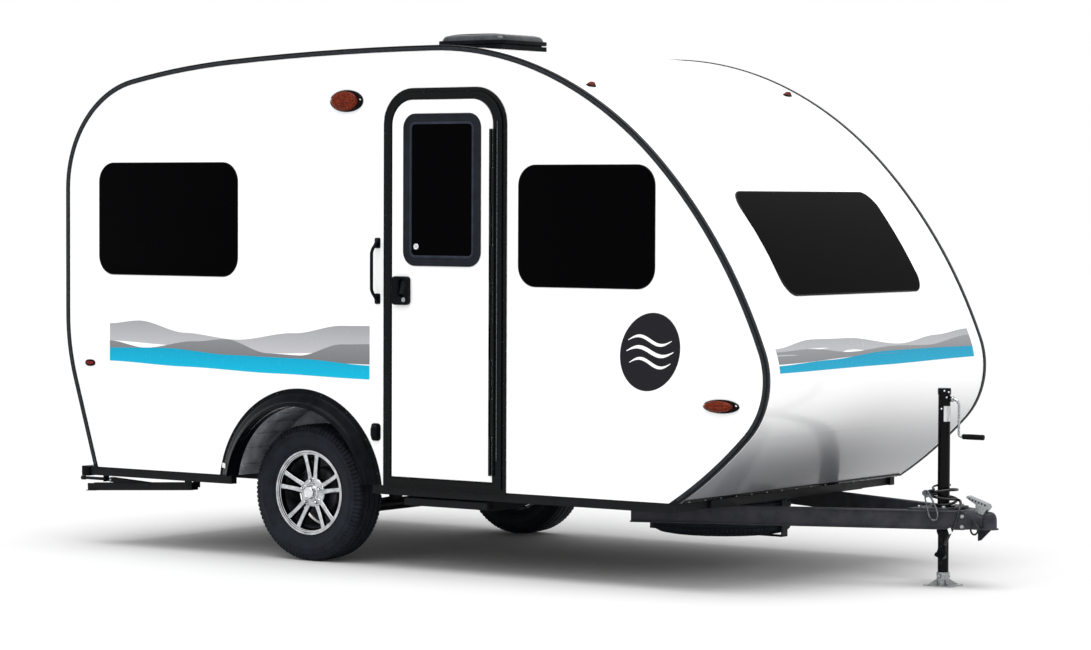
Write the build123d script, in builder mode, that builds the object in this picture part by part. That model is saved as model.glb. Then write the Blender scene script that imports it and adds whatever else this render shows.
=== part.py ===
"""Lightweight travel trailer standing on its two wheels and its tongue jack.

Frame: +X towards the coupler, +Y to the left side, +Z up, millimetres.
The origin lies on the ground, in the middle of the trailer's length and width.
"""

import os
from math import atan2, cos, radians, sin, tan

from build123d import *

# ---------------------------------------------------------------- driving dimensions
# Overall sizes
body_width = 2020.0
body_rear_x = -2407.0
body_front_x = 1806.0
coupler_tip_x = 2410.0
skirt_height = 402.0
roof_height = 2490.0

# Walls and floor
wall = 35.0
floor_thickness = 40.0
roof_front_seam_x = 640.0
roof_rear_seam_x = -1960.0
skirt_overrun = 90.0

# Pieces that lie on a curved face stand off it by this much
seat_gap = 0.3

# Edge trim
trim_flange = 22.0
trim_thickness = 3.0

# Chassis
crossmember_places = (-1830.0, -1200.0, -560.0, 0.0, 500.0, 1277.5)
outrigger_places = (-2230.0, -1650.0, -245.0, 249.0, 1260.0)
rail_width = 46.0
rail_height = 45.0
rail_centre_y = 660.0
rail_rear_x = -2255.0
rail_front_x = 1300.0
crossmember_width = 45.0
sill_width = 40.0
bumper_section = 50.0

# Coupler
coupler_flange_radius = 44.0
dome_radius = 36.0
socket_radius = 26.0
latch_lever_width = 38.0
chain_loop_x = 2290.0
chain_loop_half = 18.0
chain_loop_drop = 22.0
chain_loop_rod = 4.5

# Tongue
tongue_depth = 88.0
tongue_rail_width = 44.0
tongue_front_x = 2275.0
tongue_front_y = 62.0
tongue_rear_x = 850.0
tongue_flange = 7.0
tongue_recess = 9.0

# Wheels and axle
axle_x = -868.0
tyre_radius = 334.0
tyre_width = 205.0
tyre_outer_y = 965.0
rim_flange_radius = 208.0
rim_width = 160.0
axle_tube_radius = 30.0
axle_drop = 100.0
spindle_radius = 17.0
spring_width = 44.0
spring_half_length = 320.0
leaf_thickness = 7.0
leaf_count = 3
leaf_step = 80.0
eye_radius = 15.0
eye_bolt_radius = 7.0
eye_drop = 42.0
u_bolt_rod = 6.0
u_bolt_bend = 7.0
tie_plate = 8.0
hanger_ear = 5.0
drum_radius = 118.0
drum_gap = 5.0
barrel_radius = 190.0
tyre_seat = 0.3
wheel_offset = 0.0
spoke_face = 62.0
hub_disc_radius = 74.0
lug_well_radius = 14.0
lug_bolt_radius = 7.0
cap_length = 24.0
lug_circle = 57.0
lug_count = 5
hub_bore_radius = 42.0
cap_radius = 33.0
spoke_count = 5
spoke_width = 18.0
spoke_depth = 20.0
spoke_spread = 14.0
spoke_offset = 13.5
spoke_dish = 7.0
window_corner = 5.0
rim_skin = 5.0

# Wheel arch
arch_radius = 425.0
flare_radius = 512.0
flare_reach = 56.0
flare_thickness = 4.0
well_radius = 420.0
well_skin = 4.0
well_inner_y = 715.0

# Door
door_front_x = 298.0
door_width = 592.0
door_head_gap = 253.0
door_sill_gap = 46.0
door_corner_radius = 120.0
door_gap = 5.0
door_frame_flange = 55.0
door_hinge_flange = 77.0
door_frame_depth = 12.0
door_frame_step = 5.0
door_frame_band = 33.0
door_frame_lining = 6.0
door_skin_proud = 8.0
hinge_radius = 5.0
hinge_pin_radius = 2.5
hinge_knuckles = 9
door_window_length = 356.0
door_window_height = 620.0
door_window_border = 50.0
door_window_top_gap = 115.0
door_window_corner = 20.0
latch_length = 100.0
latch_height = 136.0
latch_depth = 24.0
latch_inset = 10.0
latch_centre_z = 1334.0
handle_radius = 9.0
handle_reach = 46.0
handle_length = 270.0
handle_centre_z = 1425.0

# Windows
glass_thickness = 5.0
glass_lap = 22.0
side_window_corner = 95.0
rear_window_x = -1722.0
rear_window_length = 916.0
front_window_x = 821.0
side_window_length = 758.0
side_window_height = 561.0
rear_window_top_gap = 546.0
front_window_top_gap = 563.0
nose_window_half_width = 625.0
nose_window_bottom = 1338.0
nose_window_top = 1806.0
nose_window_corner = 80.0

# Lamps and hatch
lamp_depth = 22.0
amber_lamp_places = ((-577.0, 2237.0, 200.0, 106.0), (1560.0, 850.0, 190.0, 62.0))
clearance_lamp_share = 0.175
clearance_lamp_y = 865.0
clearance_lamp_length = 64.0
clearance_lamp_width = 26.0
rear_marker_x = -2245.0
rear_marker_z = 930.0
tail_lamp_y = 840.0
tail_lamp_z = 1265.0
hatch_x = -396.0
hatch_z = 640.0
hatch_width = 56.0
hatch_depth = 26.0

# Jack
jack_x = 2130.0
jack_tube_radius = 28.5
jack_tube_wall = 2.5
jack_leg_radius = 25.0
jack_top = 910.0
jack_tube_bottom = 235.0
jack_foot_height = 62.0
jack_retract = 160.0
crank_throw = 170.0
crank_radius = 6.0
crank_boss = 12.0
crank_reach = 48.0
grip_radius = 13.0
grip_length = 110.0
foot_length = 150.0
foot_width = 130.0
foot_plate = 5.0
foot_rib = 4.0

# Cables on the tongue
cable_radius = 6.5
coil_inner_radius = 31.0
coil_outer_radius = 60.0
coil_height = 96.0
coil_flat = 2.0
plug_length = 62.0
plug_width = 44.0
safety_cable_radius = 5.0
hook_rod = 4.5
hook_length = 150.0
hook_width = 46.0
ferrule_radius = 8.0
ferrule_length = 20.0

# Entry step
step_length = 490.0
step_depth = 280.0
step_thickness = 40.0

# Spare wheel carrier
strap_width = 50.0
strap_skin = 6.0

# Stabilizers
stabilizer_y = 905.0
stabilizer_pivot_x = -1650.0
stabilizer_pivot_z = 330.0
stabilizer_leg = 690.0
stabilizer_brace = 270.0
stabilizer_rest = 3.0
leg_width = 52.0
leg_depth = 38.0
leg_skin = 3.0
screw_radius = 8.0
brace_plate_y = 14.5
brace_skin = 5.0
brace_radius = 11.0
nut_half_width = 11.0
pin_radius = 6.0
pin_gap = 0.3

# Spare wheel
spare_x = 920.0
spare_bottom = 180.0

# Roof vent
vent_x = -458.0
vent_size = 400.0
vent_opening = 350.0
vent_base_height = 42.0
vent_lid_height = 55.0
lid_taper = 32.0
vent_lid_gap = 5.0
vent_lip_height = 12.0
lip_skin = 4.0
lid_skin = 4.0

# ---------------------------------------------------------------- derived values
half_width = body_width / 2
inner_y = half_width - wall
body_length = body_front_x - body_rear_x
body_height = roof_height - skirt_height
frame_bottom = skirt_height - rail_height
tongue_bottom = frame_bottom - tongue_depth
axle_z = tyre_radius
door_rear_x = door_front_x - door_width
door_bottom = skirt_height + door_sill_gap
door_top = roof_height - door_head_gap
door_centre_x = (door_front_x + door_rear_x) / 2
door_height = door_top - door_bottom
door_centre_z = (door_top + door_bottom) / 2


def body_x(share):
    """Length along the body, 0 at the rear wall and 1 at the nose."""
    return body_rear_x + share * body_length


def body_z(share):
    """Height on the body, 0 at the skirt and 1 at the roof's crown."""
    return skirt_height + share * body_height


# ---------------------------------------------------------------- body outline
# The tangent arcs run from the roof's crown down the nose and down the back.
crown = (body_x(0.557), roof_height)
brow = (body_x(0.7225), body_z(0.9306))
forehead = (body_x(0.860), body_z(0.7424))
nose_top = (body_x(0.9924), body_z(0.3343))
nose_bottom = (body_x(0.9739), body_z(0.1470))
front_foot = (body_x(0.8856), skirt_height)
roof_back = (body_x(0.2594), body_z(0.9794))
shoulder = (body_x(0.1061), body_z(0.9382))
rear_knee_z = body_z(0.2910)
rear_foot = (body_x(0.0441), skirt_height + 17.0)
rear_knee_radius = 1100.0

with BuildSketch(Plane.XZ) as tall_outline:
    with BuildLine() as edge:
        upper_front = TangentArc(crown, brow, tangent=(1, 0))
        front = TangentArc(brow, forehead, tangent=upper_front % 1)
        chest = TangentArc(forehead, nose_top, tangent=front % 1)
        nose = TangentArc(nose_top, nose_bottom, tangent=chest % 1)
        belly = TangentArc(nose_bottom, front_foot, tangent=nose % 1)
        front_leg = Line(belly @ 1, (belly @ 1) + (belly % 1) * skirt_overrun)
        roof_run = TangentArc(crown, roof_back, tangent=(-1, 0))
        roof_fall = TangentArc(roof_back, shoulder, tangent=roof_run % 1)
        fall = roof_fall % 1
        # The rear shoulder ends plumb, so its chord halves the angle left to turn.
        chord = (atan2(-fall.Y, -fall.X) + radians(90)) / 2
        plumb = (body_rear_x, shoulder[1] - (shoulder[0] - body_rear_x) * tan(chord))
        rear_shoulder = TangentArc(shoulder, plumb, tangent=fall)
        rear_slope = (rear_foot[0] - body_rear_x) / (rear_knee_z - rear_foot[1])
        rear_end = (rear_foot[0] + rear_slope * skirt_overrun, rear_foot[1] - skirt_overrun)
        back = FilletPolyline(
            rear_shoulder @ 1, (body_rear_x, rear_knee_z), rear_end, radius=rear_knee_radius
        )
        Line(rear_end, front_leg @ 1)
    make_face()


def outline_band(plane, outside, inside):
    """Face between two offsets of the body outline, cut off level at the skirt."""
    with BuildSketch(plane) as band:
        offset(tall_outline.sketch_local, amount=outside, kind=Kind.INTERSECTION)
        if inside is not None:
            offset(
                tall_outline.sketch_local,
                amount=-inside,
                kind=Kind.INTERSECTION,
                mode=Mode.SUBTRACT,
            )
        with Locations((0, skirt_height)):
            Rectangle(9000, 9000, align=(Align.CENTER, Align.MIN), mode=Mode.INTERSECT)
    return band.sketch


def side_plane(y):
    """Plane facing the right side, at distance y right of the middle."""
    return Plane.XZ.offset(y)


side_windows = (
    (rear_window_x, roof_height - rear_window_top_gap - side_window_height / 2, rear_window_length),
    (front_window_x, roof_height - front_window_top_gap - side_window_height / 2, side_window_length),
)


# ---------------------------------------------------------------- body walls
def door_sketch(plane, grow, hinge_side=0.0):
    """The door's outline, grown all round, and by more on its hinge side."""
    with BuildSketch(plane) as outline:
        with Locations((door_centre_x + hinge_side / 2, door_centre_z)):
            Rectangle(door_width + 2 * grow + hinge_side, door_height + 2 * grow)
        fillet(outline.vertices().group_by(Axis.Y)[-1], door_corner_radius + grow)
    return outline.sketch


def side_wall(sign, has_door):
    """One side wall; sign 1 is the right side and -1 the left."""
    plane = side_plane(half_width if sign > 0 else -inner_y)
    with BuildPart() as panel:
        extrude(outline_band(plane, 0.0, None), amount=-wall)
        with BuildSketch(plane):
            for x, z, length in side_windows:
                with Locations((x, z)):
                    RectangleRounded(
                        length - 2 * glass_lap,
                        side_window_height - 2 * glass_lap,
                        side_window_corner - glass_lap,
                    )
            with Locations((axle_x, axle_z)):
                Circle(arch_radius)
        extrude(amount=-wall, mode=Mode.SUBTRACT)
        if has_door:
            extrude(
                door_sketch(plane, door_gap + door_frame_lining),
                amount=-wall,
                mode=Mode.SUBTRACT,
            )
    return panel


os.makedirs("parts", exist_ok=True)

right_wall = side_wall(1, True)
right_wall.part.label = "right_wall"
export_step(right_wall.part, "parts/right_wall.step")

left_wall = side_wall(-1, False)
left_wall.part.label = "left_wall"
export_step(left_wall.part, "parts/left_wall.step")

# The skin over the nose, roof and back is one band, cut at its two seams.
span_plane = side_plane(inner_y)
front_seam = Plane.YZ.offset(roof_front_seam_x)
rear_seam = Plane.YZ.offset(roof_rear_seam_x)
nose_window_z = (nose_window_top + nose_window_bottom) / 2
nose_window_height = nose_window_top - nose_window_bottom


def nose_window_sketch(lap):
    """Outline of the front window seen from ahead, shrunk by a lap."""
    with BuildSketch(Plane.YZ.offset(front_foot[0] - 300)) as outline:
        with Locations((0, nose_window_z)):
            RectangleRounded(
                2 * (nose_window_half_width - lap),
                nose_window_height - 2 * lap,
                nose_window_corner - lap,
            )
    return outline.sketch


with BuildPart() as front_panel:
    extrude(outline_band(span_plane, 0.0, wall), amount=-2 * inner_y)
    split(bisect_by=front_seam, keep=Keep.TOP)
    extrude(nose_window_sketch(glass_lap), amount=1000, mode=Mode.SUBTRACT)
front_panel.part.label = "front_panel"
export_step(front_panel.part, "parts/front_panel.step")

with BuildPart() as roof_panel:
    extrude(outline_band(span_plane, 0.0, wall), amount=-2 * inner_y)
    split(bisect_by=front_seam, keep=Keep.BOTTOM)
    split(bisect_by=rear_seam, keep=Keep.TOP)
    with BuildSketch(Plane.XY):
        Rectangle(9000, 9000)
    extrude(amount=roof_height - body_height / 2, mode=Mode.SUBTRACT)
    with BuildSketch(Plane.XY.offset(roof_height)):
        with Locations((vent_x, 0)):
            Rectangle(vent_opening, vent_opening)
    extrude(amount=-3 * wall, mode=Mode.SUBTRACT)
roof_panel.part.label = "roof_panel"
export_step(roof_panel.part, "parts/roof_panel.step")

with BuildPart() as rear_panel:
    extrude(outline_band(span_plane, 0.0, wall), amount=-2 * inner_y)
    split(bisect_by=rear_seam, keep=Keep.BOTTOM)
rear_panel.part.label = "rear_panel"
export_step(rear_panel.part, "parts/rear_panel.step")

with BuildPart() as floor_panel:
    with BuildSketch(span_plane) as floor_profile:
        offset(tall_outline.sketch_local, amount=-wall, kind=Kind.INTERSECTION)
        with Locations((0, skirt_height)):
            Rectangle(
                9000, floor_thickness, align=(Align.CENTER, Align.MIN), mode=Mode.INTERSECT
            )
    extrude(amount=-2 * inner_y)
    with BuildSketch(Plane.XY.offset(skirt_height)):
        for side in (-1, 1):
            with Locations((axle_x, side * (well_inner_y - well_skin))):
                Rectangle(
                    2 * (well_radius + well_skin),
                    inner_y,
                    align=(Align.CENTER, Align.MIN if side > 0 else Align.MAX),
                )
    extrude(amount=floor_thickness, mode=Mode.SUBTRACT)
floor_panel.part.label = "floor_panel"
export_step(floor_panel.part, "parts/floor_panel.step")

# Black L-shaped extrusions wrap both long edges, from skirt to skirt.
with BuildPart() as edge_trims:
    extrude(
        outline_band(side_plane(half_width), trim_thickness, trim_flange),
        amount=trim_thickness,
    )
    extrude(
        outline_band(side_plane(half_width), trim_thickness, -seat_gap),
        amount=-trim_flange,
    )
    mirror(about=Plane.XZ)
edge_trims.part.label = "edge_trims"
export_step(edge_trims.part, "parts/edge_trims.step")

# ---------------------------------------------------------------- windows
with BuildPart() as right_windows:
    with BuildSketch(side_plane(half_width)):
        for x, z, length in side_windows:
            with Locations((x, z)):
                RectangleRounded(length, side_window_height, side_window_corner)
    extrude(amount=glass_thickness)
right_windows.part.label = "right_windows"
export_step(right_windows.part, "parts/right_windows.step")

with BuildPart() as left_windows:
    mirror(right_windows.part, about=Plane.XZ)
left_windows.part.label = "left_windows"
export_step(left_windows.part, "parts/left_windows.step")

with BuildPart() as front_window:
    extrude(
        outline_band(side_plane(nose_window_half_width), glass_thickness, -seat_gap),
        amount=-2 * nose_window_half_width,
    )
    extrude(nose_window_sketch(0.0), amount=1000, mode=Mode.INTERSECT)
front_window.part.label = "front_window"
export_step(front_window.part, "parts/front_window.step")

# ---------------------------------------------------------------- door
frame_face_y = half_width + door_frame_depth
leaf_face_y = half_width + door_skin_proud
hinge_x = door_front_x + door_gap + hinge_radius + 2.0
hinge_y = frame_face_y + hinge_radius + 1.0
hinge_low = door_bottom + 30.0
hinge_high = door_top - door_corner_radius - 20.0
knuckle_pitch = (hinge_high - hinge_low) / hinge_knuckles
knuckle_gap = 1.0


def knuckles(first, root_x, root_y, root_length, root_depth):
    """Every second knuckle of the door's long hinge, each on the root that carries it."""
    height = knuckle_pitch - 2 * knuckle_gap
    for index in range(first, hinge_knuckles, 2):
        low = hinge_low + index * knuckle_pitch + knuckle_gap
        with Locations((hinge_x, -hinge_y, low)):
            Cylinder(hinge_radius, height, align=(Align.CENTER, Align.CENTER, Align.MIN))
        with Locations((root_x, root_y, low)):
            Box(root_length, root_depth, height, align=(Align.MIN, Align.MIN, Align.MIN))


hinge_side_extra = door_hinge_flange - door_frame_flange
with BuildPart() as door_frame:
    for grow, depth in (
        (door_frame_flange, door_frame_step),
        (door_frame_band, door_frame_depth),
    ):
        extrude(door_sketch(side_plane(half_width), grow, hinge_side_extra), amount=depth)
    extrude(
        door_sketch(side_plane(inner_y), door_gap + door_frame_lining), amount=wall
    )
    extrude(
        door_sketch(side_plane(inner_y), door_gap),
        amount=wall + door_frame_depth,
        mode=Mode.SUBTRACT,
    )
    knuckles(0, hinge_x - 4, -hinge_y, 8, hinge_y - frame_face_y)
    with Locations((hinge_x, -hinge_y, (hinge_low + hinge_high) / 2)):
        Cylinder(hinge_pin_radius, hinge_high - hinge_low - 2 * knuckle_gap)
door_frame.part.label = "door_frame"
export_step(door_frame.part, "parts/door_frame.step")

door_window_z = door_top - door_window_top_gap - door_window_height / 2
with BuildPart() as door_leaf:
    extrude(door_sketch(side_plane(inner_y), 0.0), amount=wall + door_skin_proud)
    with BuildSketch(side_plane(inner_y)):
        with Locations((door_centre_x, door_window_z)):
            RectangleRounded(
                door_window_length + 2 * door_frame_lining,
                door_window_height + 2 * door_frame_lining,
                door_window_corner + door_frame_lining,
            )
    extrude(amount=wall + door_skin_proud, mode=Mode.SUBTRACT)
door_leaf.part.label = "door_leaf"
export_step(door_leaf.part, "parts/door_leaf.step")

# The hinge's moving half is a stepped strip along the leaf's front edge.
strip_rise = hinge_y - leaf_face_y + 2.0
with BuildPart() as door_hinge:
    with Locations((door_front_x - 22, -leaf_face_y, (hinge_low + hinge_high) / 2)):
        Box(
            20, strip_rise, hinge_high - hinge_low,
            align=(Align.CENTER, Align.MAX, Align.CENTER),
        )
    knuckles(1, door_front_x - 14, -(leaf_face_y + strip_rise), hinge_x - door_front_x + 14, 4)
    with Locations((hinge_x, -hinge_y, (hinge_low + hinge_high) / 2)):
        Cylinder(hinge_pin_radius + seat_gap, hinge_high - hinge_low, mode=Mode.SUBTRACT)
door_hinge.part.label = "door_hinge"
export_step(door_hinge.part, "parts/door_hinge.step")

with BuildPart() as door_window_frame:
    with BuildSketch(side_plane(leaf_face_y)):
        with Locations((door_centre_x, door_window_z)):
            RectangleRounded(
                door_window_length + 2 * door_window_border,
                door_window_height + 2 * door_window_border,
                door_window_corner + door_window_border,
            )
    extrude(amount=glass_thickness)
    with BuildSketch(side_plane(inner_y)):
        with Locations((door_centre_x, door_window_z)):
            RectangleRounded(
                door_window_length + 2 * door_frame_lining,
                door_window_height + 2 * door_frame_lining,
                door_window_corner + door_frame_lining,
            )
    extrude(amount=wall + door_skin_proud)
    with BuildSketch(side_plane(inner_y)):
        with Locations((door_centre_x, door_window_z)):
            RectangleRounded(door_window_length, door_window_height, door_window_corner)
    extrude(amount=wall + door_skin_proud + glass_thickness, mode=Mode.SUBTRACT)
door_window_frame.part.label = "door_window_frame"
export_step(door_window_frame.part, "parts/door_window_frame.step")

with BuildPart() as door_window_glass:
    with BuildSketch(side_plane(leaf_face_y - glass_thickness)):
        with Locations((door_centre_x, door_window_z)):
            RectangleRounded(door_window_length, door_window_height, door_window_corner)
    extrude(amount=glass_thickness)
door_window_glass.part.label = "door_window_glass"
export_step(door_window_glass.part, "parts/door_window_glass.step")

latch_x = door_rear_x + latch_inset + latch_length / 2
with BuildPart() as door_latch:
    with BuildSketch(side_plane(leaf_face_y)):
        with Locations((latch_x, latch_centre_z)):
            RectangleRounded(latch_length, latch_height, 14)
    extrude(amount=latch_depth, taper=12)
    with BuildSketch(side_plane(leaf_face_y + latch_depth)):
        with Locations((latch_x + 6, latch_centre_z + 12)):
            RectangleRounded(46, 84, 8)
    extrude(amount=-latch_depth + 6, mode=Mode.SUBTRACT)
    with BuildSketch(side_plane(leaf_face_y + latch_depth - 18)):
        with Locations((latch_x + 6, latch_centre_z + 26)):
            RectangleRounded(38, 50, 8)
    extrude(amount=12, taper=10)
door_latch.part.label = "door_latch"
export_step(door_latch.part, "parts/door_latch.step")

handle_x = door_rear_x - door_frame_flange - 38.0
with BuildPart() as grab_handle:
    with BuildLine() as handle_path:
        FilletPolyline(
            (handle_x, -half_width, handle_centre_z - handle_length / 2),
            (handle_x, -half_width - handle_reach, handle_centre_z - handle_length / 2),
            (handle_x, -half_width - handle_reach, handle_centre_z + handle_length / 2),
            (handle_x, -half_width, handle_centre_z + handle_length / 2),
            radius=24,
        )
    with BuildSketch(Plane(handle_path.line @ 0, z_dir=handle_path.line % 0)):
        Circle(handle_radius)
    sweep()
    with BuildSketch(side_plane(half_width)):
        for end in (-1, 1):
            with Locations((handle_x, handle_centre_z + end * handle_length / 2)):
                RectangleRounded(32, 48, 10)
    extrude(amount=7)
grab_handle.part.label = "grab_handle"
export_step(grab_handle.part, "parts/grab_handle.step")

# ---------------------------------------------------------------- lamps and hatch
clearance_foot = front @ clearance_lamp_share
clearance_slope = front % clearance_lamp_share
clearance_plane = Plane(
    origin=(clearance_foot.X, -clearance_lamp_y, clearance_foot.Y),
    x_dir=(0, 1, 0),
    z_dir=(-clearance_slope.Y, 0, clearance_slope.X),
)
with BuildPart() as amber_lamps:
    with BuildSketch(side_plane(half_width)):
        for x, z, length, height in amber_lamp_places:
            with Locations((x, z)):
                Ellipse(length / 2, height / 2)
    extrude(amount=lamp_depth)
    chamfer(amber_lamps.faces().filter_by(Axis.Y).group_by(Axis.Y)[0].edges(), lamp_depth / 3)
    # The clearance lamps stand square to the brow, on a foot cut to its curve.
    with BuildSketch(clearance_plane.offset(-4)):
        SlotOverall(clearance_lamp_length, clearance_lamp_width)
    extrude(amount=lamp_depth - 6)
    extrude(
        outline_band(side_plane(half_width), seat_gap, None),
        amount=-2 * half_width,
        mode=Mode.SUBTRACT,
    )
    mirror(about=Plane.XZ)
amber_lamps.part.label = "amber_lamps"
export_step(amber_lamps.part, "parts/amber_lamps.step")

with BuildPart() as red_lamps:
    with BuildSketch(side_plane(half_width)):
        with Locations((rear_marker_x, rear_marker_z)):
            Ellipse(34, 17)
    extrude(amount=lamp_depth / 2)
    with BuildSketch(Plane.YZ.offset(body_rear_x)):
        with Locations((-tail_lamp_y, tail_lamp_z)):
            RectangleRounded(90, 150, 30)
    extrude(amount=-lamp_depth)
    mirror(about=Plane.XZ)
red_lamps.part.label = "red_lamps"
export_step(red_lamps.part, "parts/red_lamps.step")

with BuildPart() as cable_hatch:
    with BuildSketch(side_plane(half_width)):
        with Locations((hatch_x, hatch_z)):
            Rectangle(hatch_width, hatch_width)
        with Locations((hatch_x, hatch_z + hatch_width / 2)):
            Circle(hatch_width / 2)
    extrude(amount=hatch_depth)
    fillet(cable_hatch.faces().sort_by(Axis.Y)[0].edges(), 6)
cable_hatch.part.label = "cable_hatch"
export_step(cable_hatch.part, "parts/cable_hatch.step")

# ---------------------------------------------------------------- roof vent
vent_base_top = roof_height + vent_base_height
with BuildPart() as vent_base:
    with BuildSketch(Plane.XY.offset(roof_height - wall)):
        with Locations((vent_x, 0)):
            RectangleRounded(vent_size, vent_size, 12)
    extrude(amount=vent_base_height + wall)
    extrude(outline_band(side_plane(vent_size), seat_gap, None), amount=-2 * vent_size,
            mode=Mode.SUBTRACT)
    with BuildSketch(Plane.XY.offset(roof_height - 2 * wall)):
        with Locations((vent_x, 0)):
            Rectangle(vent_opening, vent_opening)
    extrude(amount=vent_base_height + 2 * wall, mode=Mode.SUBTRACT)
    with BuildSketch(Plane.XY.offset(vent_base_top)):
        with Locations((vent_x, 0)):
            Rectangle(vent_opening + 2 * lip_skin, vent_opening + 2 * lip_skin)
            Rectangle(vent_opening, vent_opening, mode=Mode.SUBTRACT)
    extrude(amount=vent_lip_height)
vent_base.part.label = "vent_base"
export_step(vent_base.part, "parts/vent_base.step")

vent_hinge_x = vent_x + vent_size / 2 + 6.0
vent_lid_z = vent_base_top + vent_lid_gap
with BuildPart() as vent_lid:
    with BuildSketch(Plane.XY.offset(vent_lid_z)):
        with Locations((vent_x, 0)):
            RectangleRounded(vent_size - 4, vent_size - 4, 20)
    extrude(amount=vent_lid_height, taper=lid_taper)
    with BuildSketch(Plane.XY.offset(vent_lid_z)):
        with Locations((vent_x, 0)):
            RectangleRounded(vent_size - 4 - 2 * lid_skin, vent_size - 4 - 2 * lid_skin, 16)
    extrude(amount=vent_lid_height - lid_skin, taper=lid_taper, mode=Mode.SUBTRACT)
    with Locations((vent_hinge_x, 0, vent_lid_z + hinge_radius)):
        Box(20, vent_size / 2, hinge_radius, align=(Align.MAX, Align.CENTER, Align.CENTER))
    with Locations((vent_hinge_x, 0, vent_lid_z + hinge_radius)):
        Cylinder(hinge_radius, vent_size / 2, rotation=(90, 0, 0))
vent_lid.part.label = "vent_lid"
export_step(vent_lid.part, "parts/vent_lid.step")

# ---------------------------------------------------------------- wheel arches
with BuildPart() as wheel_wells:
    with BuildSketch(side_plane(inner_y)):
        with Locations((axle_x, axle_z)):
            Circle(well_radius + well_skin)
    extrude(amount=-(inner_y - well_inner_y + well_skin))
    with BuildSketch(side_plane(inner_y)):
        with Locations((axle_x, axle_z)):
            Circle(well_radius)
    extrude(amount=-(inner_y - well_inner_y), mode=Mode.SUBTRACT)
    with BuildSketch(Plane.XY.offset(skirt_height)):
        Rectangle(9000, 9000)
    extrude(amount=-3 * skirt_height, mode=Mode.SUBTRACT)
    mirror(about=Plane.XZ)
wheel_wells.part.label = "wheel_wells"
export_step(wheel_wells.part, "parts/wheel_wells.step")

# The flare's section runs from a flange on the wall, out to its ridge and back
# in through the arch to a lip.
flare_plane = Plane(origin=(axle_x, 0, axle_z), x_dir=(0, -1, 0), z_dir=(-1, 0, 0))
flare_ridge = flare_radius - 34.0
with BuildPart() as fender_flares:
    with BuildSketch(flare_plane):
        with BuildLine():
            flare_wall = half_width + flare_thickness / 2
            flare_edge = half_width + flare_reach - flare_thickness / 2
            flange = Line((flare_wall, flare_radius), (flare_wall, flare_radius - 18))
            brow_arc = ThreePointArc(
                flange @ 1,
                (flare_edge - 10, flare_ridge + 12),
                (flare_edge, flare_ridge),
            )
            ridge = Line(brow_arc @ 1, (flare_edge, flare_ridge - 9))
            throat = ThreePointArc(
                ridge @ 1,
                (flare_edge - 22, flare_ridge - 34),
                (half_width + 2, arch_radius - 5),
            )
            Line(throat @ 1, (inner_y + 4, arch_radius - 11))
        trace(line_width=flare_thickness)
    revolve(axis=Axis((axle_x, 0, axle_z), (0, 1, 0)))
    with BuildSketch(Plane.XY.offset(skirt_height)):
        Rectangle(9000, 9000)
    extrude(amount=-3 * skirt_height, mode=Mode.SUBTRACT)
    mirror(about=Plane.XZ)
fender_flares.part.label = "fender_flares"
export_step(fender_flares.part, "parts/fender_flares.step")

# ---------------------------------------------------------------- chassis
spring_eye_z = frame_bottom - eye_drop
axle_tube_z = axle_z - axle_drop
eye_places = (axle_x - spring_half_length, axle_x + spring_half_length)
hanger_inner = spring_width / 2 + 1.0

with BuildPart() as chassis_rails:
    with BuildSketch(Plane.XY.offset(frame_bottom)):
        with Locations(((rail_rear_x + rail_front_x) / 2, -rail_centre_y)):
            Rectangle(rail_front_x - rail_rear_x, rail_width)
    extrude(amount=rail_height)
    for x in eye_places:
        with Locations((x, -rail_centre_y, frame_bottom)):
            Box(
                60, 2 * (hanger_inner + hanger_ear), hanger_ear,
                align=(Align.CENTER, Align.CENTER, Align.MAX),
            )
        for side in (-1, 1):
            ear_y = -rail_centre_y + side * (hanger_inner + hanger_ear / 2)
            with Locations((x, ear_y, frame_bottom)):
                Box(
                    40, hanger_ear, eye_drop + 18,
                    align=(Align.CENTER, Align.CENTER, Align.MAX),
                )
        with Locations((x, -rail_centre_y, spring_eye_z)):
            Cylinder(eye_bolt_radius, 2 * (hanger_inner + hanger_ear + 6), rotation=(90, 0, 0))
    mirror(about=Plane.XZ)
chassis_rails.part.label = "chassis_rails"
export_step(chassis_rails.part, "parts/chassis_rails.step")

rail_inner_y = rail_centre_y - rail_width / 2
rail_outer_y = rail_centre_y + rail_width / 2
sill_outer_y = half_width - 10.0
sill_inner_y = sill_outer_y - sill_width
arch_clear = well_radius + well_skin + 20.0
rear_sill = (rail_rear_x, axle_x - arch_clear)
front_sill = (axle_x + arch_clear, rail_front_x)

with BuildPart() as chassis_crossmembers:
    with BuildSketch(Plane.XY.offset(frame_bottom)):
        for x in crossmember_places:
            with Locations((x, 0)):
                Rectangle(crossmember_width, 2 * rail_inner_y)
        for side in (-1, 1):
            for low, high in (rear_sill, front_sill):
                with Locations(((low + high) / 2, side * (sill_outer_y + sill_inner_y) / 2)):
                    Rectangle(high - low, sill_width)
            for x in outrigger_places:
                with Locations((x, side * (rail_outer_y + sill_inner_y) / 2)):
                    Rectangle(crossmember_width, sill_inner_y - rail_outer_y)
    extrude(amount=rail_height)
chassis_crossmembers.part.label = "chassis_crossmembers"
export_step(chassis_crossmembers.part, "parts/chassis_crossmembers.step")

with BuildPart() as rear_bumper:
    with Locations((rail_rear_x, 0, skirt_height)):
        Box(
            bumper_section, body_width, bumper_section,
            align=(Align.MAX, Align.CENTER, Align.MAX),
        )
    fillet(rear_bumper.edges().filter_by(Axis.Y), 5)
rear_bumper.part.label = "rear_bumper"
export_step(rear_bumper.part, "parts/rear_bumper.step")

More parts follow.
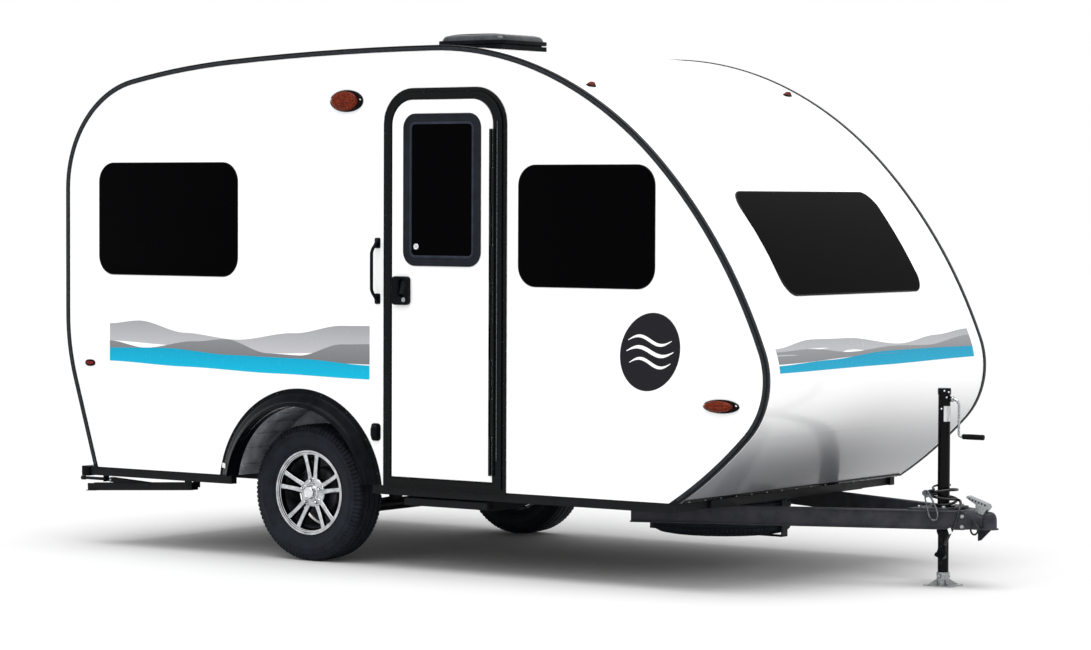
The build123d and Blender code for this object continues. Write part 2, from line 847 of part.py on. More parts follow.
# ---------------------------------------------------------------- tongue
tongue_run = tongue_front_x - tongue_rear_x
tongue_slope = (rail_centre_y - tongue_front_y) / tongue_run
tongue_skew = tongue_rail_width / 2 / cos(atan2(rail_centre_y - tongue_front_y, tongue_run))


def tongue_y(x):
    """Distance of each tongue rail's centre line from the middle at length x."""
    return tongue_front_y + (tongue_front_x - x) * tongue_slope


with BuildPart() as tongue_rails:
    with BuildSketch(Plane.XY.offset(tongue_bottom)):
        with BuildLine():
            Polyline(
                (tongue_front_x, -tongue_front_y + tongue_skew),
                (tongue_front_x, -tongue_front_y - tongue_skew),
                (tongue_rear_x, -rail_centre_y - tongue_skew),
                (tongue_rear_x, -rail_centre_y + tongue_skew),
                close=True,
            )
        make_face()
    extrude(amount=tongue_depth)
    long_edges = tongue_rails.edges().filter_by(GeomType.LINE).filter_by(
        lambda e: e.length > tongue_run
    )
    fillet(long_edges, 6)
    # Each rail is a channel whose flanges stand out past its web.
    with BuildSketch(Plane.XY.offset(tongue_bottom + tongue_flange)):
        with BuildLine():
            Polyline(
                (tongue_front_x + 1, -tongue_front_y - tongue_skew + tongue_recess),
                (tongue_front_x + 1, -tongue_front_y - tongue_skew - 10),
                (tongue_rear_x - 1, -rail_centre_y - tongue_skew - 10),
                (tongue_rear_x - 1, -rail_centre_y - tongue_skew + tongue_recess),
                close=True,
            )
        make_face()
    extrude(amount=tongue_depth - 2 * tongue_flange, mode=Mode.SUBTRACT)
    mirror(about=Plane.XZ)
tongue_rails.part.label = "tongue_rails"
export_step(tongue_rails.part, "parts/tongue_rails.step")

plate_rear_x = jack_x - 90.0
plate_front_x = jack_x + 75.0
with BuildPart() as jack_plate:
    with BuildSketch(Plane.XY.offset(frame_bottom)):
        with BuildLine():
            Polyline(
                (plate_front_x, -tongue_y(plate_front_x) - 12),
                (plate_rear_x, -tongue_y(plate_rear_x) - 12),
                (plate_rear_x, tongue_y(plate_rear_x) + 12),
                (plate_front_x, tongue_y(plate_front_x) + 12),
                close=True,
            )
        make_face()
        with Locations((jack_x, 0)):
            Circle(jack_tube_radius, mode=Mode.SUBTRACT)
    extrude(amount=8)
jack_plate.part.label = "jack_plate"
export_step(jack_plate.part, "parts/jack_plate.step")

# The coupler is a channel that narrows to a dome over the ball's socket.
ball_x = coupler_tip_x - coupler_flange_radius
socket_z = tongue_bottom + 34.0
coupler_bottom = tongue_bottom - 4.0
flange_bottom = coupler_bottom - 6.0
with BuildPart() as coupler:
    for x, breadth, top in (
        (tongue_front_x, 2 * (tongue_front_y + tongue_skew), frame_bottom),
        (ball_x - 10, 2 * dome_radius - 6, socket_z + 30),
    ):
        with BuildSketch(Plane.YZ.offset(x)):
            with Locations((0, coupler_bottom)):
                Rectangle(breadth, top - coupler_bottom, align=(Align.CENTER, Align.MIN))
    loft()
    with Locations((ball_x, 0, coupler_bottom)):
        Cylinder(
            dome_radius, socket_z - coupler_bottom,
            align=(Align.CENTER, Align.CENTER, Align.MIN),
        )
    with Locations((ball_x, 0, socket_z)):
        Sphere(dome_radius)
    with BuildSketch(Plane.XY.offset(flange_bottom)):
        with Locations((ball_x, 0)):
            Circle(coupler_flange_radius)
        with Locations((ball_x - 60, 0)):
            Rectangle(120, 2 * coupler_flange_radius - 14)
    extrude(amount=6)
    with Locations((ball_x, 0, flange_bottom)):
        Cylinder(
            socket_radius, socket_z - flange_bottom,
            align=(Align.CENTER, Align.CENTER, Align.MIN),
            mode=Mode.SUBTRACT,
        )
    with Locations((ball_x, 0, socket_z)):
        Sphere(socket_radius, mode=Mode.SUBTRACT)
    # A bent rod under the throat takes the safety chains.
    with BuildLine(Plane.XZ) as chain_loop:
        FilletPolyline(
            (chain_loop_x - chain_loop_half, coupler_bottom + 4),
            (chain_loop_x - chain_loop_half, coupler_bottom - chain_loop_drop),
            (chain_loop_x + chain_loop_half, coupler_bottom - chain_loop_drop),
            (chain_loop_x + chain_loop_half, coupler_bottom + 4),
            radius=chain_loop_half - 2,
        )
    with BuildSketch(Plane(chain_loop.line @ 0, z_dir=chain_loop.line % 0)):
        Circle(chain_loop_rod)
    sweep(path=chain_loop.line)
coupler.part.label = "coupler"
export_step(coupler.part, "parts/coupler.step")

with BuildPart() as coupler_latch:
    with BuildSketch(Plane.XZ.offset(latch_lever_width / 2)):
        with BuildLine():
            Polyline(
                (ball_x - 62, frame_bottom - 8),
                (ball_x - 28, frame_bottom - 26),
                (ball_x + 6, frame_bottom + 16),
                (ball_x - 2, frame_bottom + 30),
                (ball_x - 104, frame_bottom + 64),
                (ball_x - 112, frame_bottom + 56),
                (ball_x - 60, frame_bottom + 26),
                close=True,
            )
        make_face()
    extrude(amount=-latch_lever_width)
    add(coupler.part, mode=Mode.SUBTRACT)
coupler_latch.part.label = "coupler_latch"
export_step(coupler_latch.part, "parts/coupler_latch.step")

# ---------------------------------------------------------------- tongue jack
crank_z = jack_top - 50.0
with BuildPart() as jack_tube:
    with BuildSketch(Plane.XY.offset(jack_tube_bottom)):
        with Locations((jack_x, 0)):
            Circle(jack_tube_radius - seat_gap)
            Circle(jack_tube_radius - seat_gap - jack_tube_wall, mode=Mode.SUBTRACT)
    extrude(amount=jack_top - jack_tube_bottom)
    with Locations((jack_x, 0, jack_top)):
        Cylinder(
            jack_tube_radius + 1, 14, align=(Align.CENTER, Align.CENTER, Align.MAX)
        )
    with BuildSketch(Plane.XY.offset(frame_bottom + 8)):
        with Locations((jack_x, 0)):
            Circle(jack_tube_radius + 24)
            Circle(jack_tube_radius - seat_gap - 1, mode=Mode.SUBTRACT)
    extrude(amount=8)
    with Locations(Plane(origin=(jack_x + jack_tube_radius - 2, 0, crank_z), z_dir=(1, 0, 0))):
        Cylinder(
            crank_boss, crank_boss, align=(Align.CENTER, Align.CENTER, Align.MIN)
        )
jack_tube.part.label = "jack_tube"
export_step(jack_tube.part, "parts/jack_tube.step")

grip_z = crank_z - crank_throw
crank_x = jack_x + jack_tube_radius + crank_reach
with BuildPart() as jack_crank:
    with BuildLine() as crank_path:
        FilletPolyline(
            (jack_x + jack_tube_radius + crank_boss - 2 + seat_gap, 0, crank_z),
            (crank_x, 0, crank_z),
            (crank_x, 0, grip_z),
            (crank_x + 20, 0, grip_z),
            radius=[30.0, 12.0],
        )
    with BuildSketch(Plane(crank_path.line @ 0, z_dir=crank_path.line % 0)):
        Circle(crank_radius)
    sweep()
    with Locations(Plane(crank_path.line @ 1, z_dir=(1, 0, 0))):
        Cylinder(grip_radius, grip_length, align=(Align.CENTER, Align.CENTER, Align.MIN))
    grip_rims = jack_crank.edges().filter_by(GeomType.CIRCLE).filter_by(
        lambda e: abs(e.radius - grip_radius) < 0.01
    )
    fillet(grip_rims, 4)
jack_crank.part.label = "jack_crank"
export_step(jack_crank.part, "parts/jack_crank.step")

jack_leg_top = jack_top - 60.0 - jack_retract
with BuildPart() as jack_leg:
    with BuildSketch(Plane.XY.offset(jack_foot_height)):
        with Locations((jack_x, 0)):
            Circle(jack_leg_radius)
            Circle(jack_leg_radius - 3, mode=Mode.SUBTRACT)
    extrude(amount=jack_leg_top - jack_foot_height)
jack_leg.part.label = "jack_leg"
export_step(jack_leg.part, "parts/jack_leg.step")

with BuildPart() as jack_foot:
    with BuildSketch():
        with Locations((jack_x, 0)):
            RectangleRounded(foot_length, foot_width, 14)
    extrude(amount=foot_plate)
    with Locations((jack_x, 0, foot_plate)):
        Cylinder(
            jack_leg_radius + 5, jack_foot_height - foot_plate,
            align=(Align.CENTER, Align.CENTER, Align.MIN),
        )
    # Four ribs brace the collar towards the plate's corners.
    for turn in (45, 135, 225, 315):
        along = (cos(radians(turn)), sin(radians(turn)), 0)
        across = (along[1], -along[0], 0)
        with BuildSketch(Plane((jack_x, 0, foot_plate - 1), x_dir=along, z_dir=across)):
            with BuildLine():
                Polyline(
                    (0, 0), (foot_width / 2 + 8, 0), (jack_leg_radius + 5, 26), (0, 26),
                    close=True,
                )
            make_face()
        extrude(amount=foot_rib / 2, both=True)
    with Locations((jack_x, 0, jack_foot_height - 18)):
        Cylinder(5, 2 * jack_leg_radius + 30, rotation=(90, 0, 0))
jack_foot.part.label = "jack_foot"
export_step(jack_foot.part, "parts/jack_foot.step")

# ---------------------------------------------------------------- cables on the tongue
# The wiring cable lies in turns round the jack, above its collar. One closed ring
# has the turns' outer shape, with a flat where each cable leaves it.
coil_bottom = frame_bottom + 16.0 + seat_gap
coil_face = coil_outer_radius - coil_flat
lead_side = radians(-20)
safety_side = radians(-110)


def coil_exit(side, height, reach=coil_face):
    """Point at a height over the coil's foot, reach out from the jack towards a side."""
    return (
        jack_x + reach * cos(side),
        reach * sin(side),
        coil_bottom + height,
    )


def run_radii(points):
    """Largest bend at each inner point that its two runs allow."""
    steps = [Vector(*b) - Vector(*a) for a, b in zip(points, points[1:])]
    return [
        0.45 * min(one.length, two.length) / tan(radians(one.get_angle(two)) / 2)
        for one, two in zip(steps, steps[1:])
    ]


def cable(points, radius):
    """Round cable through the points, bent as gently as its runs allow."""
    with BuildPart() as tube:
        with BuildLine() as route:
            FilletPolyline(*points, radius=run_radii(points))
        with BuildSketch(Plane(route.line @ 0, z_dir=route.line % 0)):
            Circle(radius)
        sweep(path=route.line)
    return tube


with BuildPart() as wiring_coil:
    with BuildSketch(Plane.XY.offset(coil_bottom)):
        with Locations((jack_x, 0)):
            Circle(coil_outer_radius)
            Circle(coil_inner_radius, mode=Mode.SUBTRACT)
    extrude(amount=coil_height)
    chamfer(wiring_coil.edges().group_by(Axis.Z)[-1], cable_radius)
    for side in (lead_side, safety_side):
        away = (cos(side), sin(side), 0)
        with BuildSketch(Plane(coil_exit(side, 0), x_dir=(0, 0, 1), z_dir=away)):
            Rectangle(4 * coil_height, 2 * coil_outer_radius)
        extrude(amount=coil_outer_radius, mode=Mode.SUBTRACT)
wiring_coil.part.label = "wiring_coil"
export_step(wiring_coil.part, "parts/wiring_coil.step")

lead_points = [
    coil_exit(lead_side, 24.0),
    coil_exit(lead_side, 24.0, coil_face + 62.0),
    (2268.0, -102.0, 366.0),
    (2256.0, -114.0, 300.0),
    (2224.0, -119.0, 245.0),
    (2201.0, -116.0, 198.0),
]
wiring_lead = cable(lead_points, cable_radius)
wiring_lead.part.label = "wiring_lead"
export_step(wiring_lead.part, "parts/wiring_lead.step")
print("wiring_lead radii", [round(radius, 1) for radius in run_radii(lead_points)])

# The plug hangs from the cable's end: a round boot, then its squared body.
plug_top = Vector(*lead_points[-1])
plug_down = (plug_top - Vector(*lead_points[-2])).normalized()
plug_plane = Plane(plug_top, x_dir=(1, 0, 0.4), z_dir=plug_down)
with BuildPart() as trailer_plug:
    with BuildSketch(plug_plane):
        Circle(cable_radius + 4)
    extrude(amount=plug_length / 3)
    with BuildSketch(plug_plane.offset(plug_length / 3 - 2)):
        RectangleRounded(plug_width - 8, plug_width - 8, 10)
    extrude(amount=2 * plug_length / 3 - 10)
    with BuildSketch(plug_plane.offset(plug_length - 14)):
        RectangleRounded(plug_width, plug_width, 6)
    extrude(amount=14)
trailer_plug.part.label = "trailer_plug"
export_step(trailer_plug.part, "parts/trailer_plug.step")

# A short cable runs from the turns over the rail to the hook on its outer face.
safety_points = [
    coil_exit(safety_side, 66.0),
    coil_exit(safety_side, 66.0, coil_face + 46.0),
    (2116.0, -143.0, 438.0),
]
safety_cable = cable(safety_points, safety_cable_radius)
safety_cable.part.label = "safety_cable"
export_step(safety_cable.part, "parts/safety_cable.step")
print("safety_cable radii", [round(radius, 1) for radius in run_radii(safety_points)])

hook_end = Vector(*safety_points[-1])
hook_in = (hook_end - Vector(*safety_points[-2])).normalized()
hook_eye = hook_end + hook_in * (ferrule_length + hook_rod)
hook_x = hook_eye.X
rail_face = Vector(tongue_slope, -1, 0).normalized()
face_point = Vector(hook_x, -tongue_y(hook_x) - tongue_skew, hook_eye.Z)
hook_origin = face_point + rail_face * (hook_rod + seat_gap)
hook_down = Vector(0.321, 0.321 * tongue_slope, -0.94).normalized()
hook_plane = Plane(hook_origin, x_dir=hook_down, z_dir=rail_face)
with BuildPart() as safety_hook:
    with BuildSketch(Plane(hook_end, z_dir=hook_in)):
        Circle(ferrule_radius)
    extrude(amount=ferrule_length)
    with BuildLine(hook_plane) as hook_bow:
        FilletPolyline(
            (-12, -hook_width / 4),
            (-12, hook_width / 4),
            (hook_length - 30, hook_width / 2),
            (hook_length - 12, 0),
            (hook_length - 30, -hook_width / 2),
            close=True,
            radius=9,
        )
    with BuildSketch(Plane(hook_bow.line @ 0, z_dir=hook_bow.line % 0)):
        Circle(hook_rod)
    sweep(path=hook_bow.line)
safety_hook.part.label = "safety_hook"
export_step(safety_hook.part, "parts/safety_hook.step")

# ---------------------------------------------------------------- axle and springs
wheel_centre_y = tyre_outer_y - tyre_width / 2
drum_inner_y = wheel_centre_y - 72.0
backing_y = drum_inner_y - drum_gap
drop_plate = 14.0
drop_plate_y = rail_outer_y + 12.0
leaf_centre_z = axle_tube_z + axle_tube_radius + leaf_thickness * (leaf_count - 0.5)
tie_plate_z = axle_tube_z - axle_tube_radius + 1.0
u_bolt_x = axle_tube_radius + u_bolt_rod + 2.0
u_bolt_y = spring_width / 2 + u_bolt_rod + 1.0
u_bolt_top = leaf_centre_z + leaf_thickness / 2 + u_bolt_rod + 1.0

with BuildPart() as axle_beam:
    with Locations((axle_x, 0, axle_tube_z)):
        Cylinder(axle_tube_radius, 2 * drop_plate_y, rotation=(90, 0, 0))
    for side in (-1, 1):
        with BuildSketch(side_plane(-side * drop_plate_y)):
            with Locations((axle_x, (axle_z + axle_tube_z) / 2)):
                SlotCenterToCenter(axle_drop, 2 * axle_tube_radius + 8, rotation=90)
        extrude(amount=-side * drop_plate)
        stub = backing_y - drop_plate_y
        with Locations((axle_x, side * (drop_plate_y + stub / 2), axle_z)):
            Cylinder(axle_tube_radius - 4, stub, rotation=(90, 0, 0))
        with Locations((axle_x, side * (backing_y - 3), axle_z)):
            Cylinder(drum_radius + 6, 6, rotation=(90, 0, 0))
        spindle = wheel_centre_y + 30 - backing_y
        with Locations((axle_x, side * (backing_y + spindle / 2), axle_z)):
            Cylinder(spindle_radius, spindle, rotation=(90, 0, 0))
    # A tie plate under the beam and two U-bolts clamp each spring to it.
    for side in (-1, 1):
        with Locations((axle_x, side * rail_centre_y, tie_plate_z)):
            Box(
                2 * u_bolt_x + 30, 2 * u_bolt_y + 26, tie_plate,
                align=(Align.CENTER, Align.CENTER, Align.MAX),
            )
        for x in (axle_x - u_bolt_x, axle_x + u_bolt_x):
            with BuildLine() as u_bolt:
                FilletPolyline(
                    (x, side * rail_centre_y - u_bolt_y, tie_plate_z - tie_plate - 12),
                    (x, side * rail_centre_y - u_bolt_y, u_bolt_top),
                    (x, side * rail_centre_y + u_bolt_y, u_bolt_top),
                    (x, side * rail_centre_y + u_bolt_y, tie_plate_z - tie_plate - 12),
                    radius=u_bolt_bend,
                )
            with BuildSketch(Plane(u_bolt.line @ 0, z_dir=u_bolt.line % 0)):
                Circle(u_bolt_rod)
            sweep(path=u_bolt.line)
axle_beam.part.label = "axle_beam"
export_step(axle_beam.part, "parts/axle_beam.step")

# Leaves share one bend: each lower leaf lies on the one above and is shorter.
main_sag = spring_eye_z - leaf_centre_z
with BuildPart() as leaf_springs:
    for leaf in range(leaf_count):
        reach = spring_half_length - leaf * leaf_step
        low = leaf_centre_z - leaf * leaf_thickness
        rise = main_sag * (reach / spring_half_length) ** 2
        with BuildSketch(side_plane(rail_centre_y + spring_width / 2)):
            with BuildLine():
                ThreePointArc(
                    (axle_x - reach, low + rise), (axle_x, low), (axle_x + reach, low + rise)
                )
            trace(line_width=leaf_thickness)
        extrude(amount=-spring_width)
    for x in eye_places:
        with Locations((x, -rail_centre_y, spring_eye_z)):
            Cylinder(eye_radius, spring_width, rotation=(90, 0, 0))
            Cylinder(
                eye_bolt_radius, spring_width, rotation=(90, 0, 0), mode=Mode.SUBTRACT
            )
    mirror(about=Plane.XZ)
leaf_springs.part.label = "leaf_springs"
export_step(leaf_springs.part, "parts/leaf_springs.step")

# ---------------------------------------------------------------- wheels
# A wheel's sections are drawn on the plane through the axle: x outwards, y away
# from the axle, and turned about the wheel's own axis.
wheel_axis = Axis((axle_x, 0, axle_z), (0, 1, 0))
wheel_plane = Plane(origin=(axle_x, -wheel_centre_y, axle_z), x_dir=(0, -1, 0), z_dir=(-1, 0, 0))
wheel_face = Plane(origin=(axle_x, -wheel_centre_y, axle_z), x_dir=(1, 0, 0), z_dir=(0, -1, 0))
half_tyre = tyre_width / 2
bead_half = half_tyre - 28.0
rim_half = rim_width / 2


with BuildSketch() as tyre_section:
    with BuildLine():
        for side in (-1, 1):
            shoulder = (side * (half_tyre - 26), tyre_radius - 2)
            upper_wall = (side * (half_tyre - 3), tyre_radius - 32)
            lower_wall = (side * (half_tyre - 12), barrel_radius + 36)
            bead_top = (side * bead_half, barrel_radius + 18)
            ThreePointArc(shoulder, (side * (half_tyre - 8), tyre_radius - 11), upper_wall)
            ThreePointArc(upper_wall, (side * half_tyre, tyre_radius - 64), lower_wall)
            Line(lower_wall, bead_top)
            Line(bead_top, (side * bead_half, barrel_radius + tyre_seat))
        ThreePointArc(
            (-half_tyre + 26, tyre_radius - 2), (0, tyre_radius), (half_tyre - 26, tyre_radius - 2)
        )
        Line((-bead_half, barrel_radius + tyre_seat), (bead_half, barrel_radius + tyre_seat))
    make_face()

# The rim's section: a dropped well between two flanges that hold the beads, with
# a second step inside the outer lip.
well_floor = barrel_radius - 18.0
lip_step = barrel_radius - 10.0
with BuildSketch() as rim_section:
    with BuildLine():
        Polyline(
            (-rim_half, rim_flange_radius),
            (-bead_half - 1, rim_flange_radius),
            (-bead_half - 1, barrel_radius),
            (-44, barrel_radius),
            (-34, well_floor),
            (8, well_floor),
            (20, barrel_radius),
            (bead_half + 1, barrel_radius),
            (bead_half + 1, rim_flange_radius),
            (rim_half, rim_flange_radius),
            (rim_half, barrel_radius),
            (rim_half - 6, barrel_radius - rim_skin),
            (rim_half - 10, barrel_radius - rim_skin),
            (rim_half - 14, lip_step),
            (rim_half - 34, lip_step),
            (24, barrel_radius - rim_skin),
            (10, well_floor - rim_skin),
            (-36, well_floor - rim_skin),
            (-48, barrel_radius - rim_skin),
            (-bead_half, barrel_radius - rim_skin),
            (-rim_half, barrel_radius),
            close=True,
        )
    make_face()

with BuildPart() as right_tyre:
    with BuildSketch(wheel_plane):
        add(tyre_section.sketch_local)
    revolve(axis=wheel_axis)
right_tyre.part.label = "right_tyre"
export_step(right_tyre.part, "parts/right_tyre.step")

disc_back = wheel_offset
spoke_root = hub_disc_radius + 8.0
spoke_tip = lip_step - 6.0
window_back = spoke_face - spoke_depth - spoke_dish - 4.0
with BuildPart() as right_rim:
    # A dished face is turned in one with the barrel.
    with BuildSketch(wheel_plane):
        add(rim_section.sketch_local)
        with BuildLine():
            front_dish = ThreePointArc(
                (spoke_face, hub_disc_radius),
                (spoke_face - spoke_dish, (hub_disc_radius + lip_step) / 2),
                (spoke_face, lip_step + 2),
            )
            Line(front_dish @ 1, (spoke_face - spoke_depth, lip_step + 2))
            back_dish = ThreePointArc(
                (spoke_face - spoke_depth, lip_step + 2),
                (spoke_face - spoke_depth - spoke_dish, (hub_disc_radius + lip_step) / 2),
                (spoke_face - spoke_depth, hub_disc_radius),
            )
            Polyline(
                back_dish @ 1,
                (disc_back, hub_disc_radius),
                (disc_back, 0),
                (spoke_face, 0),
                (spoke_face, hub_disc_radius),
            )
        make_face()
    revolve(axis=wheel_axis)
    # Windows cut through it leave five split spokes.
    with BuildSketch(wheel_face.offset(window_back)) as windows:
        Circle(spoke_tip)
        Circle(spoke_root, mode=Mode.SUBTRACT)
        with PolarLocations(0, spoke_count, start_angle=90):
            for side in (-1, 1):
                with Locations(
                    Location((44, side * spoke_offset, 0), (0, 0, side * spoke_spread / 2))
                ):
                    Rectangle(
                        barrel_radius - 46, spoke_width,
                        align=(Align.MIN, Align.CENTER), mode=Mode.SUBTRACT,
                    )
        fillet(windows.vertices(), window_corner)
    extrude(amount=spoke_face - window_back + 1, mode=Mode.SUBTRACT)
    with BuildSketch(wheel_face.offset(disc_back)):
        Circle(hub_bore_radius)
        with PolarLocations(lug_circle, lug_count):
            Circle(lug_well_radius)
    extrude(amount=spoke_face - disc_back, mode=Mode.SUBTRACT)
    with BuildSketch(wheel_face.offset(disc_back)):
        with PolarLocations(lug_circle, lug_count):
            Circle(lug_well_radius)
            Circle(lug_bolt_radius, mode=Mode.SUBTRACT)
    extrude(amount=10)
right_rim.part.label = "right_rim"
export_step(right_rim.part, "parts/right_rim.step")

with BuildPart() as right_hub:
    with Locations(wheel_face.offset(disc_back)):
        Cylinder(
            drum_radius, disc_back + wheel_centre_y - drum_inner_y,
            align=(Align.CENTER, Align.CENTER, Align.MAX),
        )
        Cylinder(
            hub_bore_radius - 1, spoke_face - disc_back,
            align=(Align.CENTER, Align.CENTER, Align.MIN),
        )
        with PolarLocations(lug_circle, lug_count):
            Cylinder(lug_bolt_radius - 0.5, 34, align=(Align.CENTER, Align.CENTER, Align.MIN))
    with Locations(wheel_face.offset(spoke_face)):
        Cylinder(cap_radius, cap_length, align=(Align.CENTER, Align.CENTER, Align.MIN))
    fillet(right_hub.faces().sort_by(Axis.Y)[0].edges(), 8)
    with Locations((axle_x, -drum_inner_y + 5, axle_z)):
        Cylinder(
            spindle_radius + pin_gap, wheel_centre_y + 30 + 10 - drum_inner_y,
            rotation=(90, 0, 0), align=(Align.CENTER, Align.CENTER, Align.MIN),
            mode=Mode.SUBTRACT,
        )
right_hub.part.label = "right_hub"
export_step(right_hub.part, "parts/right_hub.step")

for name, piece in (("tyre", right_tyre), ("rim", right_rim), ("hub", right_hub)):
    with BuildPart() as left_piece:
        mirror(piece.part, about=Plane.XZ)
    left_piece.part.label = f"left_{name}"
    export_step(left_piece.part, f"parts/left_{name}.step")

# ---------------------------------------------------------------- spare wheel
spare_axis = Axis((spare_x, 0, 0), (0, 0, 1))
spare_plane = Plane(
    origin=(spare_x, 0, spare_bottom + half_tyre), x_dir=(0, 0, 1), z_dir=(0, -1, 0)
)
with BuildPart() as spare_tyre:
    with BuildSketch(spare_plane):
        add(tyre_section.sketch_local)
    revolve(axis=spare_axis)
spare_tyre.part.label = "spare_tyre"
export_step(spare_tyre.part, "parts/spare_tyre.step")

with BuildPart() as spare_rim:
    with BuildSketch(spare_plane):
        add(rim_section.sketch_local)
    revolve(axis=spare_axis)
    with BuildSketch(Plane.XY.offset(spare_bottom + half_tyre)):
        with Locations((spare_x, 0)):
            Circle(barrel_radius - 3)
            Circle(hub_bore_radius, mode=Mode.SUBTRACT)
            with PolarLocations(130, 8):
                Circle(20, mode=Mode.SUBTRACT)
            with PolarLocations(lug_circle, lug_count):
                Circle(lug_bolt_radius, mode=Mode.SUBTRACT)
    extrude(amount=6)
spare_rim.part.label = "spare_rim"
export_step(spare_rim.part, "parts/spare_rim.step")

strap_places = (crossmember_places[-2] + 15.0, crossmember_places[-1])
with BuildPart() as spare_carrier:
    with BuildSketch(side_plane(strap_width / 2)):
        with BuildLine():
            Polyline(
                (strap_places[0] - 15, frame_bottom - strap_skin / 2),
                (strap_places[0] + 12, frame_bottom - strap_skin / 2),
                (strap_places[0] + 12, spare_bottom - strap_skin / 2 - seat_gap),
                (strap_places[1] - 4, spare_bottom - strap_skin / 2 - seat_gap),
                (strap_places[1] - 4, frame_bottom - strap_skin / 2),
                (strap_places[1] + 18, frame_bottom - strap_skin / 2),
            )
        trace(line_width=strap_skin)
    extrude(amount=-strap_width)
spare_carrier.part.label = "spare_carrier"
export_step(spare_carrier.part, "parts/spare_carrier.step")

# ---------------------------------------------------------------- entry step
step_top = frame_bottom - 7.0
step_outer_y = half_width - 25.0
with BuildPart() as entry_step:
    with Locations((door_centre_x, -step_outer_y, step_top)):
        Box(
            step_length, step_depth, step_thickness,
            align=(Align.CENTER, Align.MIN, Align.MAX),
        )
    fillet(entry_step.edges().filter_by(Axis.X).group_by(Axis.Y)[0], 8)
    with Locations((door_centre_x, -step_outer_y + 24, step_top - 3)):
        Box(
            step_length - 6, step_depth - 21, step_thickness,
            align=(Align.CENTER, Align.MIN, Align.MAX),
            mode=Mode.SUBTRACT,
        )
entry_step.part.label = "entry_step"
export_step(entry_step.part, "parts/entry_step.step")

# Each runner is a channel that the tray's side slides in.
runner_gap = 1.0
runner_skin = 4.0
runner_lip = 18.0
with BuildPart() as step_runners:
    for side in (-1, 1):
        inner = door_centre_x + side * (step_length / 2 + runner_gap)
        web = (inner, inner + side * runner_skin)
        with Locations((sum(web) / 2, -step_outer_y + 40, frame_bottom)):
            Box(
                runner_skin, step_depth - 20, step_thickness + 7 + runner_gap + runner_skin,
                align=(Align.CENTER, Align.MIN, Align.MAX),
            )
        lip_x = inner + side * (runner_skin - runner_lip) / 2
        with Locations((lip_x, -step_outer_y + 40, step_top - step_thickness - runner_gap)):
            Box(
                runner_lip + runner_skin, step_depth - 20, runner_skin,
                align=(Align.CENTER, Align.MIN, Align.MAX),
            )
step_runners.part.label = "step_runners"
export_step(step_runners.part, "parts/step_runners.step")

# ---------------------------------------------------------------- stabilizers
# Leg, brace and screw make an isosceles linkage: the brace is as long as the
# leg's stretch between its pivot and the brace's pin, and the screw's axis runs
# through the leg's pivot.
rest_angle = radians(stabilizer_rest)
elbow_x = stabilizer_pivot_x - stabilizer_brace * cos(rest_angle)
elbow_z = stabilizer_pivot_z - stabilizer_brace * sin(rest_angle)
nut_x = stabilizer_pivot_x - 2 * stabilizer_brace * cos(rest_angle)
leg_plane = Plane(
    origin=(stabilizer_pivot_x, -stabilizer_y, stabilizer_pivot_z),
    x_dir=(-cos(rest_angle), 0, -sin(rest_angle)),
    z_dir=(0, 1, 0),
)
brace_plane = Plane(
    origin=((nut_x + elbow_x) / 2, -stabilizer_y, (stabilizer_pivot_z + elbow_z) / 2),
    x_dir=(cos(rest_angle), 0, -sin(rest_angle)),
    z_dir=(0, -1, 0),
)
ear_inner = leg_width / 2 + 3.0
ear_skin = 5.0
screw_end_x = nut_x - 190.0
bearing_x = nut_x - 45.0

with BuildPart() as stabilizer_brackets:
    with Locations((stabilizer_pivot_x + 25, -stabilizer_y, frame_bottom)):
        Box(
            stabilizer_pivot_x + 25 - bearing_x + 8, 2 * (ear_inner + ear_skin), 4,
            align=(Align.MAX, Align.CENTER, Align.MAX),
        )
    for side in (-1, 1):
        with Locations(
            (stabilizer_pivot_x, -stabilizer_y + side * (ear_inner + ear_skin / 2), frame_bottom)
        ):
            Box(
                44, ear_skin, frame_bottom - stabilizer_pivot_z + 14,
                align=(Align.CENTER, Align.CENTER, Align.MAX),
            )
    with Locations((stabilizer_pivot_x, -stabilizer_y, stabilizer_pivot_z)):
        Cylinder(pin_radius, 2 * (ear_inner + ear_skin + 4), rotation=(90, 0, 0))
    with Locations((bearing_x, -stabilizer_y, frame_bottom)):
        Box(
            8, 36, frame_bottom - stabilizer_pivot_z + 12,
            align=(Align.CENTER, Align.CENTER, Align.MAX),
        )
    with Locations((screw_end_x, -stabilizer_y, stabilizer_pivot_z)):
        Cylinder(
            screw_radius, nut_x + 70 - screw_end_x,
            rotation=(0, 90, 0), align=(Align.CENTER, Align.CENTER, Align.MIN),
        )
    with BuildSketch(Plane.YZ.offset(screw_end_x)):
        with Locations((-stabilizer_y, stabilizer_pivot_z)):
            RegularPolygon(screw_radius + 4, 6)
    extrude(amount=-22)
    mirror(about=Plane.XZ)
stabilizer_brackets.part.label = "stabilizer_brackets"
export_step(stabilizer_brackets.part, "parts/stabilizer_brackets.step")

